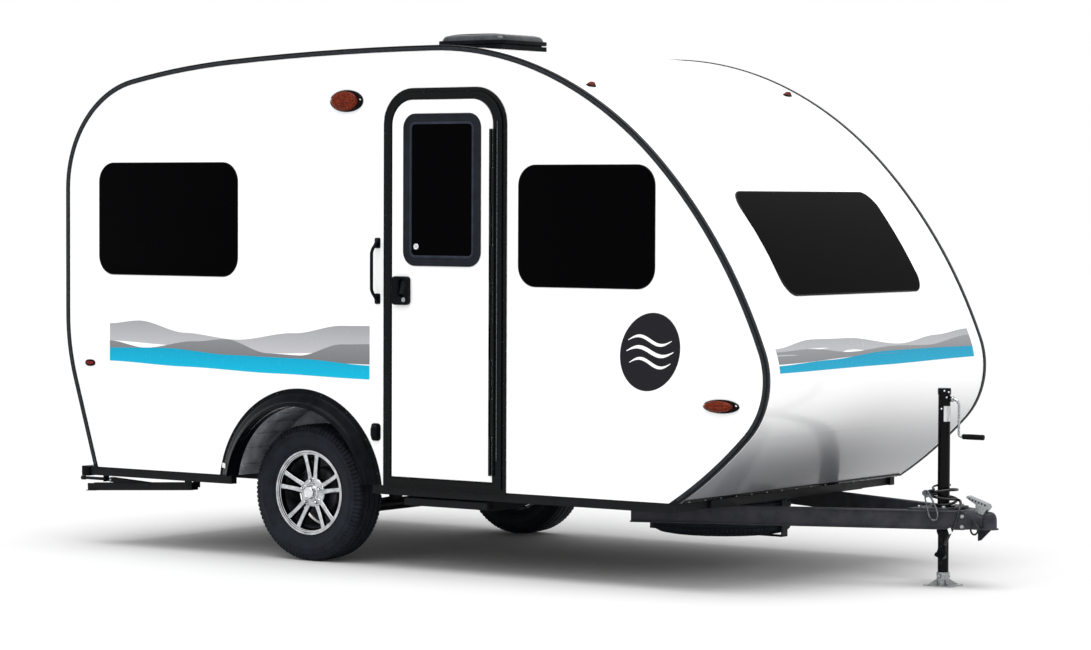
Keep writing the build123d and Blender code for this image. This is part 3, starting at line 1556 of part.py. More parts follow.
with BuildPart() as right_stabilizer_leg:
    with BuildSketch(leg_plane.offset(-leg_width / 2)):
        with Locations((-14, 12)):
            Rectangle(stabilizer_leg + 14, leg_depth, align=(Align.MIN, Align.MAX))
    extrude(amount=leg_width)
    with BuildSketch(leg_plane.offset(-leg_width / 2 + leg_skin)):
        with Locations((-15, 13)):
            Rectangle(stabilizer_leg + 16, leg_depth + 1 - leg_skin, align=(Align.MIN, Align.MAX))
    extrude(amount=leg_width - 2 * leg_skin, mode=Mode.SUBTRACT)
    with BuildSketch(leg_plane.offset(-leg_width / 2)):
        Circle(pin_radius + pin_gap)
    extrude(amount=leg_width, mode=Mode.SUBTRACT)
    with BuildSketch(leg_plane.offset(-leg_width / 2 - 3)):
        with Locations((stabilizer_brace, 0)):
            Circle(pin_radius)
    extrude(amount=leg_width + 6)
    with BuildSketch(leg_plane.offset(-leg_width / 2 - 14)):
        with Locations((stabilizer_leg, 12 - leg_depth)):
            Rectangle(70, 4, align=(Align.MAX, Align.MIN))
    extrude(amount=leg_width + 28)
right_stabilizer_leg.part.label = "right_stabilizer_leg"
export_step(right_stabilizer_leg.part, "parts/right_stabilizer_leg.step")

with BuildPart() as right_stabilizer_brace:
    for side in (-1, 1):
        with BuildSketch(brace_plane.offset(side * brace_plate_y - brace_skin / 2)):
            SlotCenterToCenter(stabilizer_brace, 2 * brace_radius)
        extrude(amount=brace_skin)
    with BuildSketch(brace_plane.offset(-brace_plate_y)):
        Rectangle(8, 2 * brace_radius - 4)
    extrude(amount=2 * brace_plate_y)
    with BuildSketch(brace_plane.offset(-leg_width)):
        with Locations((-stabilizer_brace / 2, 0), (stabilizer_brace / 2, 0)):
            Circle(pin_radius + pin_gap)
    extrude(amount=2 * leg_width, mode=Mode.SUBTRACT)
right_stabilizer_brace.part.label = "right_stabilizer_brace"
export_step(right_stabilizer_brace.part, "parts/right_stabilizer_brace.step")

with BuildPart() as right_stabilizer_nut:
    with Locations((nut_x, -stabilizer_y, stabilizer_pivot_z)):
        Box(24, 2 * nut_half_width, 24)
        Cylinder(pin_radius, 2 * (brace_plate_y + brace_skin / 2 + 2), rotation=(90, 0, 0))
        Cylinder(screw_radius + pin_gap, 40, rotation=(0, 90, 0), mode=Mode.SUBTRACT)
right_stabilizer_nut.part.label = "right_stabilizer_nut"
export_step(right_stabilizer_nut.part, "parts/right_stabilizer_nut.step")

for name, piece in (
    ("leg", right_stabilizer_leg),
    ("brace", right_stabilizer_brace),
    ("nut", right_stabilizer_nut),
):
    with BuildPart() as left_piece:
        mirror(piece.part, about=Plane.XZ)
    left_piece.part.label = f"left_stabilizer_{name}"
    export_step(left_piece.part, f"parts/left_stabilizer_{name}.step")
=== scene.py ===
"""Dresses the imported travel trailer: finishes, wheels, bands, fittings, cords and the studio."""

from math import asin, atan2, cos, pi, radians, sin, sqrt

import bmesh
import bpy
import numpy as np
from bpy.props import FloatProperty, FloatVectorProperty, IntProperty, PointerProperty
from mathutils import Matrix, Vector


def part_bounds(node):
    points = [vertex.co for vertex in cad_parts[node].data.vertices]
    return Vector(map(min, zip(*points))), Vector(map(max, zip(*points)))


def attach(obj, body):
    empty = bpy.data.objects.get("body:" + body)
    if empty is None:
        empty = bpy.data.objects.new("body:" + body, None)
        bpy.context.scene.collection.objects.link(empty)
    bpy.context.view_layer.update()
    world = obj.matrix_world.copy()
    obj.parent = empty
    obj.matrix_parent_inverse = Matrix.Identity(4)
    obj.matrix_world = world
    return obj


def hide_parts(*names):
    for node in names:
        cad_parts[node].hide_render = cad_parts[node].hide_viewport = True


bl_info = {
    "name": "Travel trailer dressing",
    "version": (1, 0, 0),
    "blender": (4, 5, 0),
    "location": "View3D > Sidebar > Trailer",
    "description": "Adds the finishes and fittings of a small travel trailer to its frame",
    "category": "Object",
}

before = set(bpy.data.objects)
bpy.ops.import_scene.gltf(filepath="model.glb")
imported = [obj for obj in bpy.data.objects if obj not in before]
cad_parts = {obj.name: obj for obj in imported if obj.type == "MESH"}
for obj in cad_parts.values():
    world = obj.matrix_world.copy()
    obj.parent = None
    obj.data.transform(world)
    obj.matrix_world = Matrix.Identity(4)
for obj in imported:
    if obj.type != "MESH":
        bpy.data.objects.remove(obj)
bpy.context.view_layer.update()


# ---------------- colours and nodes
def linear(hex_colour):
    """An sRGB hex colour as the linear RGBA that shaders take."""
    channels = [int(hex_colour[i:i + 2], 16) / 255 for i in (1, 3, 5)]
    curve = [c / 12.92 if c <= 0.04045 else ((c + 0.055) / 1.055) ** 2.4 for c in channels]
    return (*curve, 1.0)


def add_node(tree, kind, links=None, values=None, **settings):
    """Adds a node: settings are its options, values its unlinked sockets, links its inputs."""
    node = tree.nodes.new(kind)
    for name, value in settings.items():
        setattr(node, name, value)
    for name, value in (values or {}).items():
        node.inputs[name].default_value = value
    for name, source in (links or {}).items():
        tree.links.new(source, node.inputs[name])
    return node


def make_finish(name, hex_colour, roughness, *layers, metallic=0.0, **sockets):
    """A named material, made once: its shader's plain values, then its pattern layers in order."""
    if name in bpy.data.materials:
        return bpy.data.materials[name]
    material = bpy.data.materials.new(name)
    material.use_nodes = True
    shader = material.node_tree.nodes["Principled BSDF"]
    plain = {"Base Color": linear(hex_colour), "Roughness": roughness, "Metallic": metallic}
    for socket, value in {**plain, **sockets}.items():
        shader.inputs[socket.replace("_", " ")].default_value = value
    for layer in layers:
        add_layer(material.node_tree, shader, **layer)
    return material


def add_layer(tree, shader, mm=10.0, detail=3.0, stretch=(1.0, 1.0, 1.0), along=None, ease="LINEAR",
              cells=None, ends=(0.35, 0.65), rough=None, colour=None, relief=None):
    """One pattern of a finish, in the object's own space, and what it drives.

    The pattern is noise with blotches about mm across, or a run along an axis between two places,
    or moulded cells. It may drive the roughness and the colour, each between two values, and the
    relief, a depth in millimetres and a strength, which lies on any relief that is there already.
    """
    place = add_node(tree, "ShaderNodeTexCoord").outputs["Object"]
    if along:
        axis, start, end = along
        split = add_node(tree, "ShaderNodeSeparateXYZ", {"Vector": place})
        source = add_node(
            tree, "ShaderNodeMapRange", {"Value": split.outputs[axis]},
            {"From Min": start, "From Max": end}, interpolation_type=ease,
        ).outputs["Result"]
    elif cells:
        source = add_node(
            tree, "ShaderNodeTexVoronoi", {"Vector": place}, {"Scale": cells}
        ).outputs["Distance"]
    else:
        sized = add_node(tree, "ShaderNodeMapping", {"Vector": place}, {"Scale": stretch})
        source = add_node(
            tree, "ShaderNodeTexNoise", {"Vector": sized.outputs["Vector"]},
            {"Scale": 1000.0 / mm, "Detail": detail, "Roughness": 0.55},
        ).outputs["Fac"]
    if rough:
        spread = add_node(
            tree, "ShaderNodeMapRange", {"Value": source},
            {"From Min": 0.35, "From Max": 0.65, "To Min": rough[0], "To Max": rough[1]},
        )
        tree.links.new(spread.outputs["Result"], shader.inputs["Roughness"])
    if colour:
        ramp = add_node(tree, "ShaderNodeValToRGB", {"Fac": source})
        for stop, end, shade in zip(ramp.color_ramp.elements, ends, colour):
            stop.position = end
            stop.color = linear(shade) if isinstance(shade, str) else (*shade, 1.0)
        tree.links.new(ramp.outputs["Color"], shader.inputs["Base Color"])
    if relief:
        links = {"Height": source}
        if shader.inputs["Normal"].is_linked:
            links["Normal"] = shader.inputs["Normal"].links[0].from_socket
        values = {"Strength": relief[1], "Distance": relief[0] / 1000.0}
        bump = add_node(tree, "ShaderNodeBump", links, values)
        tree.links.new(bump.outputs["Normal"], shader.inputs["Normal"])


# ---------------- materials
def gelcoat(name="Gelcoat, gloss white", painted_shade_span=None):
    """Gloss white gelcoat, sprayed in a mould: long soft waves under a hard clear gloss.

    The second argument gives two heights between which the nose's colour runs from grey up to white: painted
    shade on the lower nose.
    """
    cloud = dict(mm=700.0, detail=2.0, colour=("#f1f3f4", "#f7f7f6"))
    # Painted shade: the lower nose is coloured grey, easing up to white.
    painted_shade = painted_shade_span and dict(
        along=("Z", *painted_shade_span), ease="SMOOTHERSTEP", ends=(0.0, 1.0), colour=("#838488", "#f6f6f6")
    )
    return make_finish(
        name, "#f4f5f5", 0.16, dict(mm=260.0, detail=1.0, relief=(1.2, 0.35)),
        dict(mm=9.0, detail=2.0, relief=(0.2, 0.12)), painted_shade or cloud,
        IOR=1.52, Specular_IOR_Level=0.4, Coat_Weight=0.2, Coat_Roughness=0.04,
    )


def black_abs():
    """Moulded ABS, black: a satin skin with a fine leathery grain that breaks up highlights."""
    return make_finish(
        "ABS, moulded black", "#050608", 0.22, dict(mm=2.6, detail=4.0, relief=(0.25, 0.5)),
        dict(mm=55.0, detail=2.0, rough=(0.17, 0.28), colour=("#040507", "#0a0c12")),
        IOR=1.53, Specular_IOR_Level=0.05,
    )


def black_trim_metal():
    """Extruded aluminium painted gloss black: straight draw lines under smooth paint."""
    return make_finish(
        "Aluminium extrusion, painted black", "#08090b", 0.24, dict(mm=30.0, rough=(0.19, 0.31)),
        dict(mm=5.0, detail=2.0, relief=(0.08, 0.4)), IOR=1.5, Specular_IOR_Level=0.11,
    )


def powder_coat(name="Steel, powder coated charcoal", low="#2a2b30", high="#39393f"):
    """Powder-coated steel: a soft orange-peel skin, dusty in the hollows."""
    return make_finish(
        name, low, 0.42, dict(mm=3.2, detail=2.0, relief=(0.3, 0.55)),
        dict(mm=70.0, detail=5.0, rough=(0.34, 0.54), colour=(low, high)),
        IOR=1.5, Specular_IOR_Level=0.12,
    )


def powder_coat_in_painted_shade():
    """The same coat darkened to black for the frame and gear under the body: painted shade."""
    return powder_coat("Steel, powder coated, painted shade under the body", "#0b0c0e", "#131417")


def zinc_plate():
    """Zinc-plated steel: bright, slightly blue, with the mottling of barrel plating."""
    return make_finish(
        "Steel, zinc plated", "#9a9d9f", 0.32,
        dict(mm=6.0, detail=5.0, rough=(0.22, 0.44), colour=("#74787b", "#b9bcbb"), ends=(0.3, 0.7)),
        dict(mm=1.5, relief=(0.05, 0.4)), metallic=1.0,
    )


def galvanised_steel():
    """Hot-dip galvanised forging, handled dull: mid grey, darker where the coating is rubbed."""
    return make_finish(
        "Steel forging, galvanised dull", "#5c6063", 0.38,
        dict(mm=9.0, detail=5.0, rough=(0.26, 0.48), colour=("#3b3e41", "#85898b"), ends=(0.3, 0.7)),
        metallic=1.0,
    )


def chrome_plate():
    """Chrome-plated brass: a mirror with the faintest swirl of polishing."""
    return make_finish(
        "Chrome plate, polished", "#dcdde0", 0.07, dict(mm=12.0, detail=4.0, rough=(0.05, 0.13)),
        metallic=1.0,
    )


def machined_aluminium():
    """Turned cast aluminium under clear lacquer: bright on faces along the axle, darker elsewhere, painted
    shade and partly the pockets' dark paint.
    """
    name = "Cast aluminium, machined and lacquered"
    if name in bpy.data.materials:
        return bpy.data.materials[name]
    material = make_finish(
        name, "#c4c6c8", 0.24, dict(mm=40.0, rough=(0.18, 0.3), colour=("#a4a8ab", "#d0d3d5")),
        dict(mm=2.0, detail=2.0, relief=(0.03, 0.4)), metallic=1.0, Coat_Weight=0.5, Coat_Roughness=0.06,
    )
    tree = material.node_tree
    base = tree.nodes["Principled BSDF"].inputs["Base Color"]
    # Faces turned away from the axle are mixed towards dark grey: painted shade on the spokes' sides and in
    # the barrel, partly the pockets' dark paint.
    place = add_node(tree, "ShaderNodeTexCoord")
    split = add_node(tree, "ShaderNodeSeparateXYZ", {"Vector": place.outputs["Normal"]})
    facing = add_node(tree, "ShaderNodeMath", {0: split.outputs["Y"]}, operation="ABSOLUTE")
    painted_shade_mask = add_node(
        tree, "ShaderNodeMapRange", {"Value": facing.outputs["Value"]}, {"From Min": 0.25, "From Max": 0.8}
    )
    shade = add_node(
        tree, "ShaderNodeMix", {0: painted_shade_mask.outputs["Result"], 7: base.links[0].from_socket},
        {6: linear("#2c2e33")}, data_type="RGBA",
    )
    tree.links.new(shade.outputs[2], base)
    return material


def dark_cast_and_hole_shade():
    """Cast aluminium painted dark in the wheel's pockets: satin, with a sandy cast skin; also the painted
    shade inside holes.
    """
    return make_finish(
        "Cast aluminium, painted dark, and painted hole shade", "#24262a", 0.45, dict(mm=1.8, relief=(0.12, 0.5)),
        dict(mm=30.0, colour=("#1d1f22", "#34373c")), metallic=0.35,
    )


def tyre_rubber():
    """Moulded tyre rubber: near-black and matte, greyer where dust holds in the grain."""
    return make_finish(
        "Rubber, moulded tyre", "#10131a", 0.62,
        dict(mm=45.0, detail=6.0, rough=(0.52, 0.74), colour=("#0d1016", "#20262e"), ends=(0.3, 0.75)),
        dict(mm=1.6, relief=(0.15, 0.5)), IOR=1.52, Specular_IOR_Level=0.12,
    )


def soft_rubber():
    """Extruded EPDM seal: matte black with a faint bloom."""
    return make_finish(
        "EPDM rubber, extruded", "#0a0b0c", 0.55,
        dict(mm=18.0, detail=4.0, rough=(0.45, 0.66), colour=("#08090a", "#101113")),
        IOR=1.5, Specular_IOR_Level=0.2,
    )


def tinted_acrylic():
    """Cast acrylic tinted almost black: a deep gloss with very slow ripples."""
    return make_finish(
        "Cast acrylic, dark tint", "#020203", 0.06, dict(mm=320.0, detail=1.0, relief=(0.9, 0.25)),
        dict(mm=60.0, rough=(0.02, 0.06)), IOR=1.49, Specular_IOR_Level=0.015,
    )


def lens(name, deep, pale):
    """Moulded acrylic lamp lens: coloured through and glossy; each cell pale at its middle, painted light
    from the reflector.
    """
    # Pale cell middles: painted light from the reflector behind the lens.
    return make_finish(
        name, deep, 0.12, dict(cells=160.0, colour=(pale, deep), ends=(0, 0.55), relief=(0.6, 0.35)),
        IOR=1.49, Specular_IOR_Level=0.14,
    )


def amber_acrylic():
    """Amber marker lens."""
    return lens("Acrylic, moulded amber", "#4a1405", "#a5380c")


def red_acrylic():
    """Red tail lens."""
    return lens("Acrylic, moulded red", "#520507", "#a01213")


def smoked_polycarbonate():
    """Smoked polycarbonate: see-through grey plastic, milky at the thick ribs."""
    return make_finish(
        "Polycarbonate, smoked", "#2c3136", 0.1,
        dict(mm=90.0, rough=(0.08, 0.2), colour=("#22262a", "#3b4147")),
        IOR=1.58, Specular_IOR_Level=0.3, Transmission_Weight=0.12,
    )


def white_plastic():
    """Injection-moulded ASA, white: satin with a slight grain."""
    return make_finish(
        "ASA, moulded white", "#e7e8e6", 0.36, dict(mm=2.5, relief=(0.1, 0.4)),
        dict(mm=60.0, colour=("#dfe0de", "#ecedec")), IOR=1.52,
    )


def grey_liner():
    """Vacuum-formed grey polyethylene: matte, pebbled, and dusty."""
    return make_finish(
        "Polyethylene, formed grey", "#83868c", 0.6, dict(mm=4.0, relief=(0.5, 0.6)),
        dict(mm=80.0, detail=5.0, colour=("#74777d", "#9a9ea4")), IOR=1.51, Specular_IOR_Level=0.25,
    )


def floor_board():
    """Sealed plywood underside: dark undercoat rolled over long veneer grain."""
    return make_finish(
        "Plywood, sealed dark", "#2a2622", 0.66,
        dict(mm=40.0, detail=6.0, stretch=(0.06, 1.0, 1.0), colour=("#211d1a", "#3a332c"),
             ends=(0.3, 0.7), relief=(0.6, 0.4)),
        IOR=1.5,
    )


def slate_abs(name="ABS, moulded slate", low="#101319", high="#171b23"):
    """Moulded ABS in a blue-black slate: satin, with the faint grain of its mould."""
    return make_finish(
        name, low, 0.34, dict(mm=2.6, detail=4.0, relief=(0.2, 0.45)),
        dict(mm=60.0, colour=(low, high)), IOR=1.53, Specular_IOR_Level=0.1,
    )


def slate_vinyl():
    """Extruded vinyl insert, slate grey: a soft half gloss that catches a long highlight."""
    return make_finish(
        "Vinyl insert, extruded slate", "#1a1e24", 0.26,
        dict(mm=14.0, rough=(0.25, 0.38), colour=("#171b20", "#22272d")),
        IOR=1.52, Specular_IOR_Level=0.16,
    )


def cable_sheath():
    """Extruded PVC cable sheath: near-black and glossy, with the slight waviness of its draw."""
    return make_finish(
        "PVC cable sheath, extruded black", "#060607", 0.18,
        dict(mm=7.0, rough=(0.17, 0.32), colour=("#050506", "#0c0d0f"), relief=(0.15, 0.3)),
        IOR=1.53, Specular_IOR_Level=0.4,
    )


def black_screws():
    """Black-oxide screws: a dark steel skin, worn brighter where the driver turned it."""
    return make_finish(
        "Steel, black oxide", "#1c1d20", 0.38,
        dict(mm=3.0, detail=4.0, rough=(0.28, 0.5), colour=("#141517", "#3a3c40"), ends=(0.4, 0.75)),
        metallic=0.6,
    )


def gloss_black_paint():
    """Gloss black enamel on steel: hard highlights, slightly wavy where the paint flowed."""
    return make_finish(
        "Enamel on steel, gloss black", "#050507", 0.18,
        dict(mm=16.0, detail=2.0, rough=(0.12, 0.24), relief=(0.25, 0.3)),
        IOR=1.52, Specular_IOR_Level=0.09,
    )


def brushed_plate():
    """Blank anodised aluminium plate: pale, brushed along its height."""
    return make_finish(
        "Aluminium, brushed blank plate", "#c3c5c6", 0.34,
        dict(mm=2.4, detail=5.0, stretch=(1.0, 1.0, 0.05), rough=(0.26, 0.42),
             colour=("#a9abad", "#dcdddd")),
        metallic=0.85,
    )


def zinc_bright():
    """Bright zinc-plated bar: almost chrome, softened by the drawn steel under it."""
    return make_finish(
        "Steel bar, bright zinc plated", "#b4b8ba", 0.18,
        dict(mm=5.0, detail=4.0, rough=(0.13, 0.28), colour=("#7d8284", "#c2c6c7")), metallic=1.0,
    )


def sealant():
    """White lap sealant: satin, slumped and slightly lumpy."""
    return make_finish(
        "Lap sealant, white", "#e3e4e2", 0.5,
        dict(mm=12.0, colour=("#dadbd9", "#ececea"), relief=(1.5, 0.5)), IOR=1.45,
    )


def vinyl(name, low, high, start=0.0, end=1.0):
    """Printed cast vinyl film: flat colour that shades up the ribbon, under a thin gloss."""
    return make_finish(
        name, low, 0.24, dict(along=("Z", start, end), ends=(0.0, 1.0), colour=(low, high)),
        dict(mm=35.0, rough=(0.17, 0.28)), IOR=1.5, Specular_IOR_Level=0.15,
    )


# ---------------- shapes
# A shape is a pair (points, faces): an array of points and a list of index tuples.
def outline_circle(radius, steps=32, squash=1.0):
    """Points of a circle, or of an ellipse when squash isn't 1."""
    turn = np.linspace(0, 2 * pi, steps, endpoint=False)
    return np.stack([radius * np.cos(turn), radius * squash * np.sin(turn)], 1)


def outline_rounded(width, height, corner, steps=6):
    """Points of a rectangle with round corners, anticlockwise from the one at +x, +y.

    The corner's radius is one number or four.
    """
    points = []
    corners = zip(((1, 1), (-1, 1), (-1, -1), (1, -1)), np.broadcast_to(corner, 4))
    for index, ((sx, sy), corner) in enumerate(corners):
        for k in range(steps + 1):
            turn = pi / 2 * (index + k / steps)
            points.append((
                sx * (width / 2 - corner) + corner * cos(turn),
                sy * (height / 2 - corner) + corner * sin(turn),
            ))
    return np.array(points)


def inset(outline, amount):
    """A closed outline moved inwards by amount, along its own normals."""
    before = np.roll(outline, 1, 0)
    after = np.roll(outline, -1, 0)
    along = after - before
    along /= np.maximum(np.linalg.norm(along, axis=1), 1e-9)[:, None]
    return outline + np.stack([-along[:, 1], along[:, 0]], 1) * amount


def rings_shape(rings, closed=True, caps=(True, True), loop=False):
    """Skins a stack of equal rings of 3D points."""
    rings = np.asarray(rings, float)
    count, size = rings.shape[:2]
    faces = []
    for i in range(count if loop else count - 1):
        a, b = i * size, (i + 1) % count * size
        for k in range(size if closed else size - 1):
            n = (k + 1) % size
            faces.append((a + k, a + n, b + n, b + k))
    if caps[0] and closed and not loop:
        faces.append(tuple(range(size))[::-1])
    if caps[1] and closed and not loop:
        faces.append(tuple((count - 1) * size + k for k in range(size)))
    return rings.reshape(-1, 3), faces


def flat_ring(outline, height):
    """An outline lifted into a ring of 3D points."""
    return np.column_stack([outline, np.full(len(outline), height)])


def rounded_edge(outline, edge, depth, steps, out=1):
    """Rings that round a front edge over; out is -1 on the rim of a hole, from the top down."""
    turns = [pi / 2 * k / steps for k in range(steps + 1)]
    return [
        flat_ring(inset(outline, out * edge * (1 - cos(turn))), depth - edge * (1 - sin(turn)))
        for turn in turns[::out]
    ]


def plate(outline, depth, edge=0.002, steps=3, back=0.0):
    """A plate from z = back up to z = depth, with its front edge rounded by edge."""
    return rings_shape([flat_ring(outline, back), *rounded_edge(outline, edge, depth, steps)])


def collar(outer, inner, depth, edge=0.002, back=0.0, steps=3):
    """A closed ring between two outlines of equal count, its front edges rounded."""
    return rings_shape([
        flat_ring(outer, back), *rounded_edge(outer, edge, depth, steps),
        *rounded_edge(inner, edge, depth, steps, -1), flat_ring(inner, back),
    ], loop=True)


def prism(outline, height):
    """An outline raised to a height."""
    return rings_shape([flat_ring(outline, 0), flat_ring(outline, height)])


def rounded_stack(levels, steps):
    """Skins round-cornered rectangles of (z, length, width, corner)."""
    return rings_shape([
        flat_ring(outline_rounded(length, width, corner, steps), z) for z, length, width, corner in levels
    ])


def turned(profile, steps=64, closed=False):
    """Turns a profile of (radius, z) all the way about z."""
    profile = np.asarray(profile, float)
    turns = np.linspace(0, 2 * pi, steps, endpoint=False)
    rings = [
        np.column_stack([profile[:, 0] * cos(t), profile[:, 0] * sin(t), profile[:, 1]])
        for t in turns
    ]
    points, faces = rings_shape(rings, closed=closed, loop=True)
    return points, [face[::-1] for face in faces]


def swept(path, section, closed_path=False, up=(0, 0, 1)):
    """Carries a closed section of (across, up) points along a 3D path."""
    path = np.asarray(path, float)
    section = np.asarray(section, float)
    count = len(path)
    rings = []
    reference = np.asarray(up, float)
    for i, point in enumerate(path):
        before = path[(i - 1) % count] if closed_path or i > 0 else point
        after = path[(i + 1) % count] if closed_path or i < count - 1 else point
        along = after - before
        along /= np.linalg.norm(along)
        across = np.cross(along, reference)
        if np.linalg.norm(across) < 1e-6:
            across = np.cross(along, (1.0, 0, 0))
        across /= np.linalg.norm(across)
        lift = np.cross(across, along)
        reference = lift
        rings.append(point + section[:, :1] * across + section[:, 1:] * lift)
    points, faces = rings_shape(rings, loop=closed_path)
    return points, [face[::-1] for face in faces]


def rod(path, radius, steps=12, closed_path=False):
    """A round bar along a path; the radius may be one number or one per point."""
    path = np.asarray(path, float)
    radii = np.broadcast_to(radius, (len(path),))
    points, faces = swept(path, outline_circle(1.0, steps), closed_path)
    rings = points.reshape(len(path), steps, 3)
    centres = path[:, None, :]
    return (centres + (rings - centres) * radii[:, None, None]).reshape(-1, 3), faces


def smooth_path(points, steps=6):
    """A rounded line through the given points."""
    points = [np.asarray(p, float) for p in points]
    ends = [2 * points[0] - points[1], *points, 2 * points[-1] - points[-2]]
    made = []
    for a, b, c, d in zip(ends, ends[1:], ends[2:], ends[3:]):
        for k in range(steps):
            t = k / steps
            square, cube = 2 * a - 5 * b + 4 * c - d, 3 * b - a - 3 * c + d
            made.append(0.5 * (2 * b + (c - a) * t + square * t * t + cube * t ** 3))
    return np.array(made + [points[-1]])


def rounded_box(size, edge=0.002, steps=2):
    """A box centred on the origin with every edge rounded."""
    length, depth, height = size
    outline = outline_rounded(length, depth, edge, 3)
    rings = []
    for end in (-1, 1):
        for k in range(steps + 1)[::-end]:
            turn = pi / 2 * k / steps
            lift = end * (height / 2 - edge * (1 - cos(turn)))
            rings.append(flat_ring(inset(outline, edge * (1 - sin(turn))), lift))
    return rings_shape(rings)


def hex_head(across, height):
    """A hexagonal bolt head or nut with its chamfered top."""
    hexagon = outline_circle(across / sqrt(3), 6)
    rings = [flat_ring(hexagon, 0), flat_ring(hexagon, height * 0.8), flat_ring(hexagon * 0.86, height)]
    return rings_shape(rings)


def screw_head(radius):
    """A low domed screw head with a cross recess."""
    rings = [flat_ring(outline_circle(radius, 24), 0)]
    for share, lift in ((1.0, 0.25), (0.86, 0.5), (0.6, 0.66)):
        rings.append(flat_ring(outline_circle(radius * share, 24), radius * lift))
    turn = np.linspace(0, 2 * pi, 24, endpoint=False)
    reach = radius * (0.14 + 0.34 * (np.abs(np.cos(2 * turn)) > 0.85))
    cross = np.stack([reach * np.cos(turn), reach * np.sin(turn)], 1)
    rings += [flat_ring(cross, radius * 0.68), flat_ring(cross * 0.9, radius * 0.3)]
    return rings_shape(rings, caps=(False, True))


def joined(*shapes):
    """Several shapes as one, their faces renumbered."""
    points, faces, base = [], [], 0
    for shape in shapes:
        points.append(np.asarray(shape[0]))
        faces += [tuple(base + i for i in face) for face in shape[1]]
        base += len(shape[0])
    return np.concatenate(points), faces


def placed(shape, origin=(0, 0, 0), x=(1, 0, 0), z=(0, 0, 1)):
    """A shape moved so that its z and x axes point along the given directions."""
    up = np.asarray(z, float) / np.linalg.norm(z)
    side = np.asarray(x, float) - up * np.dot(x, up)
    side /= np.linalg.norm(side)
    axes = np.stack([side, np.cross(up, side), up])
    return np.asarray(shape[0]) @ axes + np.asarray(origin, float), shape[1]


def mirrored(shape):
    """The shape on the other side of the trailer."""
    return shape[0] * (1, -1, 1), [face[::-1] for face in shape[1]]


def both_sides(*shapes):
    """Shapes and their mirror images as one."""
    shape = joined(*shapes)
    return joined(shape, mirrored(shape))


def piece(name, shape, finish, smooth=35.0, body="trailer", replaces=None, solid=True):
    """Makes a mesh object of a shape, gives it its finish and lets it ride on a body.

    A piece may replace the CAD node that it stands for. Only a solid has its faces turned outwards.
    """
    mesh = bpy.data.meshes.new(name)
    mesh.from_pydata([tuple(p) for p in shape[0]], [], shape[1])
    if solid:
        skin = bmesh.new()
        skin.from_mesh(mesh)
        bmesh.ops.recalc_face_normals(skin, faces=skin.faces)
        skin.to_mesh(mesh)
        skin.free()
    mesh.polygons.foreach_set("use_smooth", [True] * len(mesh.polygons))
    mesh.set_sharp_from_angle(angle=radians(smooth))
    mesh.materials.append(finish)
    mesh.update()
    made = bpy.data.objects.new(name, mesh)
    bpy.context.scene.collection.objects.link(made)
    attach(made, body)
    if replaces:
        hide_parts(replaces)
    return made


def cad(name):
    """The CAD node's lowest and highest corners as arrays."""
    low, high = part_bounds(name)
    return np.array(low), np.array(high)


def part_box(name, test):
    """Corners of the part of a CAD node whose points pass a test."""
    points = np.array([tuple(v.co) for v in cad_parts[name].data.vertices])
    points = points[[bool(test(p)) for p in points]]
    return points.min(0), points.max(0)


# ---------------- places on the shell
def shell_outline():
    """The side's outline seen from the right, from the front foot over the roof to the rear foot."""
    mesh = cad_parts["right_wall"].data
    flat = sorted({(round(v.co.x, 5), round(v.co.z, 5)) for v in mesh.vertices})
    hull = []
    for chain in (flat, flat[::-1]):
        start = len(hull)
        for point in chain:
            while len(hull) > start + 1:
                (ax, az), (bx, bz) = hull[-2], hull[-1]
                if (bx - ax) * (point[1] - az) - (bz - az) * (point[0] - ax) > 1e-9:
                    break
                hull.pop()
            hull.append(point)
        hull.pop()
    floor = min(z for _, z in hull)
    low = [i for i, (_, z) in enumerate(hull) if z < floor + 1e-4]
    front = max(low, key=lambda i: hull[i][0])
    return np.array(hull[front:] + hull[:front])


outline = shell_outline()
shell_steps = np.concatenate([[0], np.cumsum(np.hypot(*np.diff(outline, axis=0).T))])
shell_length = shell_steps[-1]
wall_face = abs(cad("right_wall")[0][1])


def on_shell(distance):
    """Point, outward direction and forward direction of the outline at a distance along it."""
    reach = 0.012
    near, place, far = (
        np.array([np.interp(distance + step, shell_steps, outline[:, k]) for k in (0, 1)])
        for step in (-reach, 0, reach)
    )
    along = (far - near) / np.linalg.norm(far - near)
    return place, np.array([along[1], -along[0]]), along


def shell_at_height(height):
    """Distance along the outline at which the front of the shell has this height."""
    top = int(np.argmax(outline[:, 1]))
    return float(np.interp(height, outline[:top + 1, 1], shell_steps[:top + 1]))


def on_front(height, across, stand_off=0.0):
    """A point on the front panel's skin, and the skin's outward direction."""
    place, out, _ = on_shell(shell_at_height(height))
    place = place + out * stand_off
    return np.array([place[0], across, place[1]]), np.array([out[0], 0, out[1]])


def on_wall(x, z, stand_off=0.0):
    """A point on the right wall's face."""
    return np.array([x, -(wall_face + stand_off), z])


def wall_middle(low, high):
    """The middle of a box's face, on the right wall."""
    return on_wall((low[0] + high[0]) / 2, (low[2] + high[2]) / 2)


def facing_out(shape, origin):
    """A shape made flat in x and y, stood up to face out of the right wall."""
    return placed(shape, origin, (1, 0, 0), (0, -1, 0))


# ---------------- settings
class TrailerShellSettings(bpy.types.PropertyGroup):
    """Sizes and colours of the shell's bands, trims and seals."""

    band_bottom: FloatProperty(
        name="Band height", description="Height of the side band's lower edge",
        default=0.904, unit="LENGTH",
    )
    band_top: FloatProperty(
        name="Band top", description="Height of the side band's highest ribbon",
        default=1.16, unit="LENGTH",
    )
    band_blue_dark: FloatVectorProperty(
        name="Deep blue", description="Blue at the height of the band's top",
        size=3, subtype="COLOR", default=linear("#00779c")[:3],
    )
    seal_width: FloatProperty(
        name="Window seal", description="Width of the rubber seal round each window",
        default=0.006, unit="LENGTH",
    )
    disc_radius: FloatProperty(
        name="Disc radius", description="Radius of the ringed disc on each side",
        default=0.158, unit="LENGTH",
    )


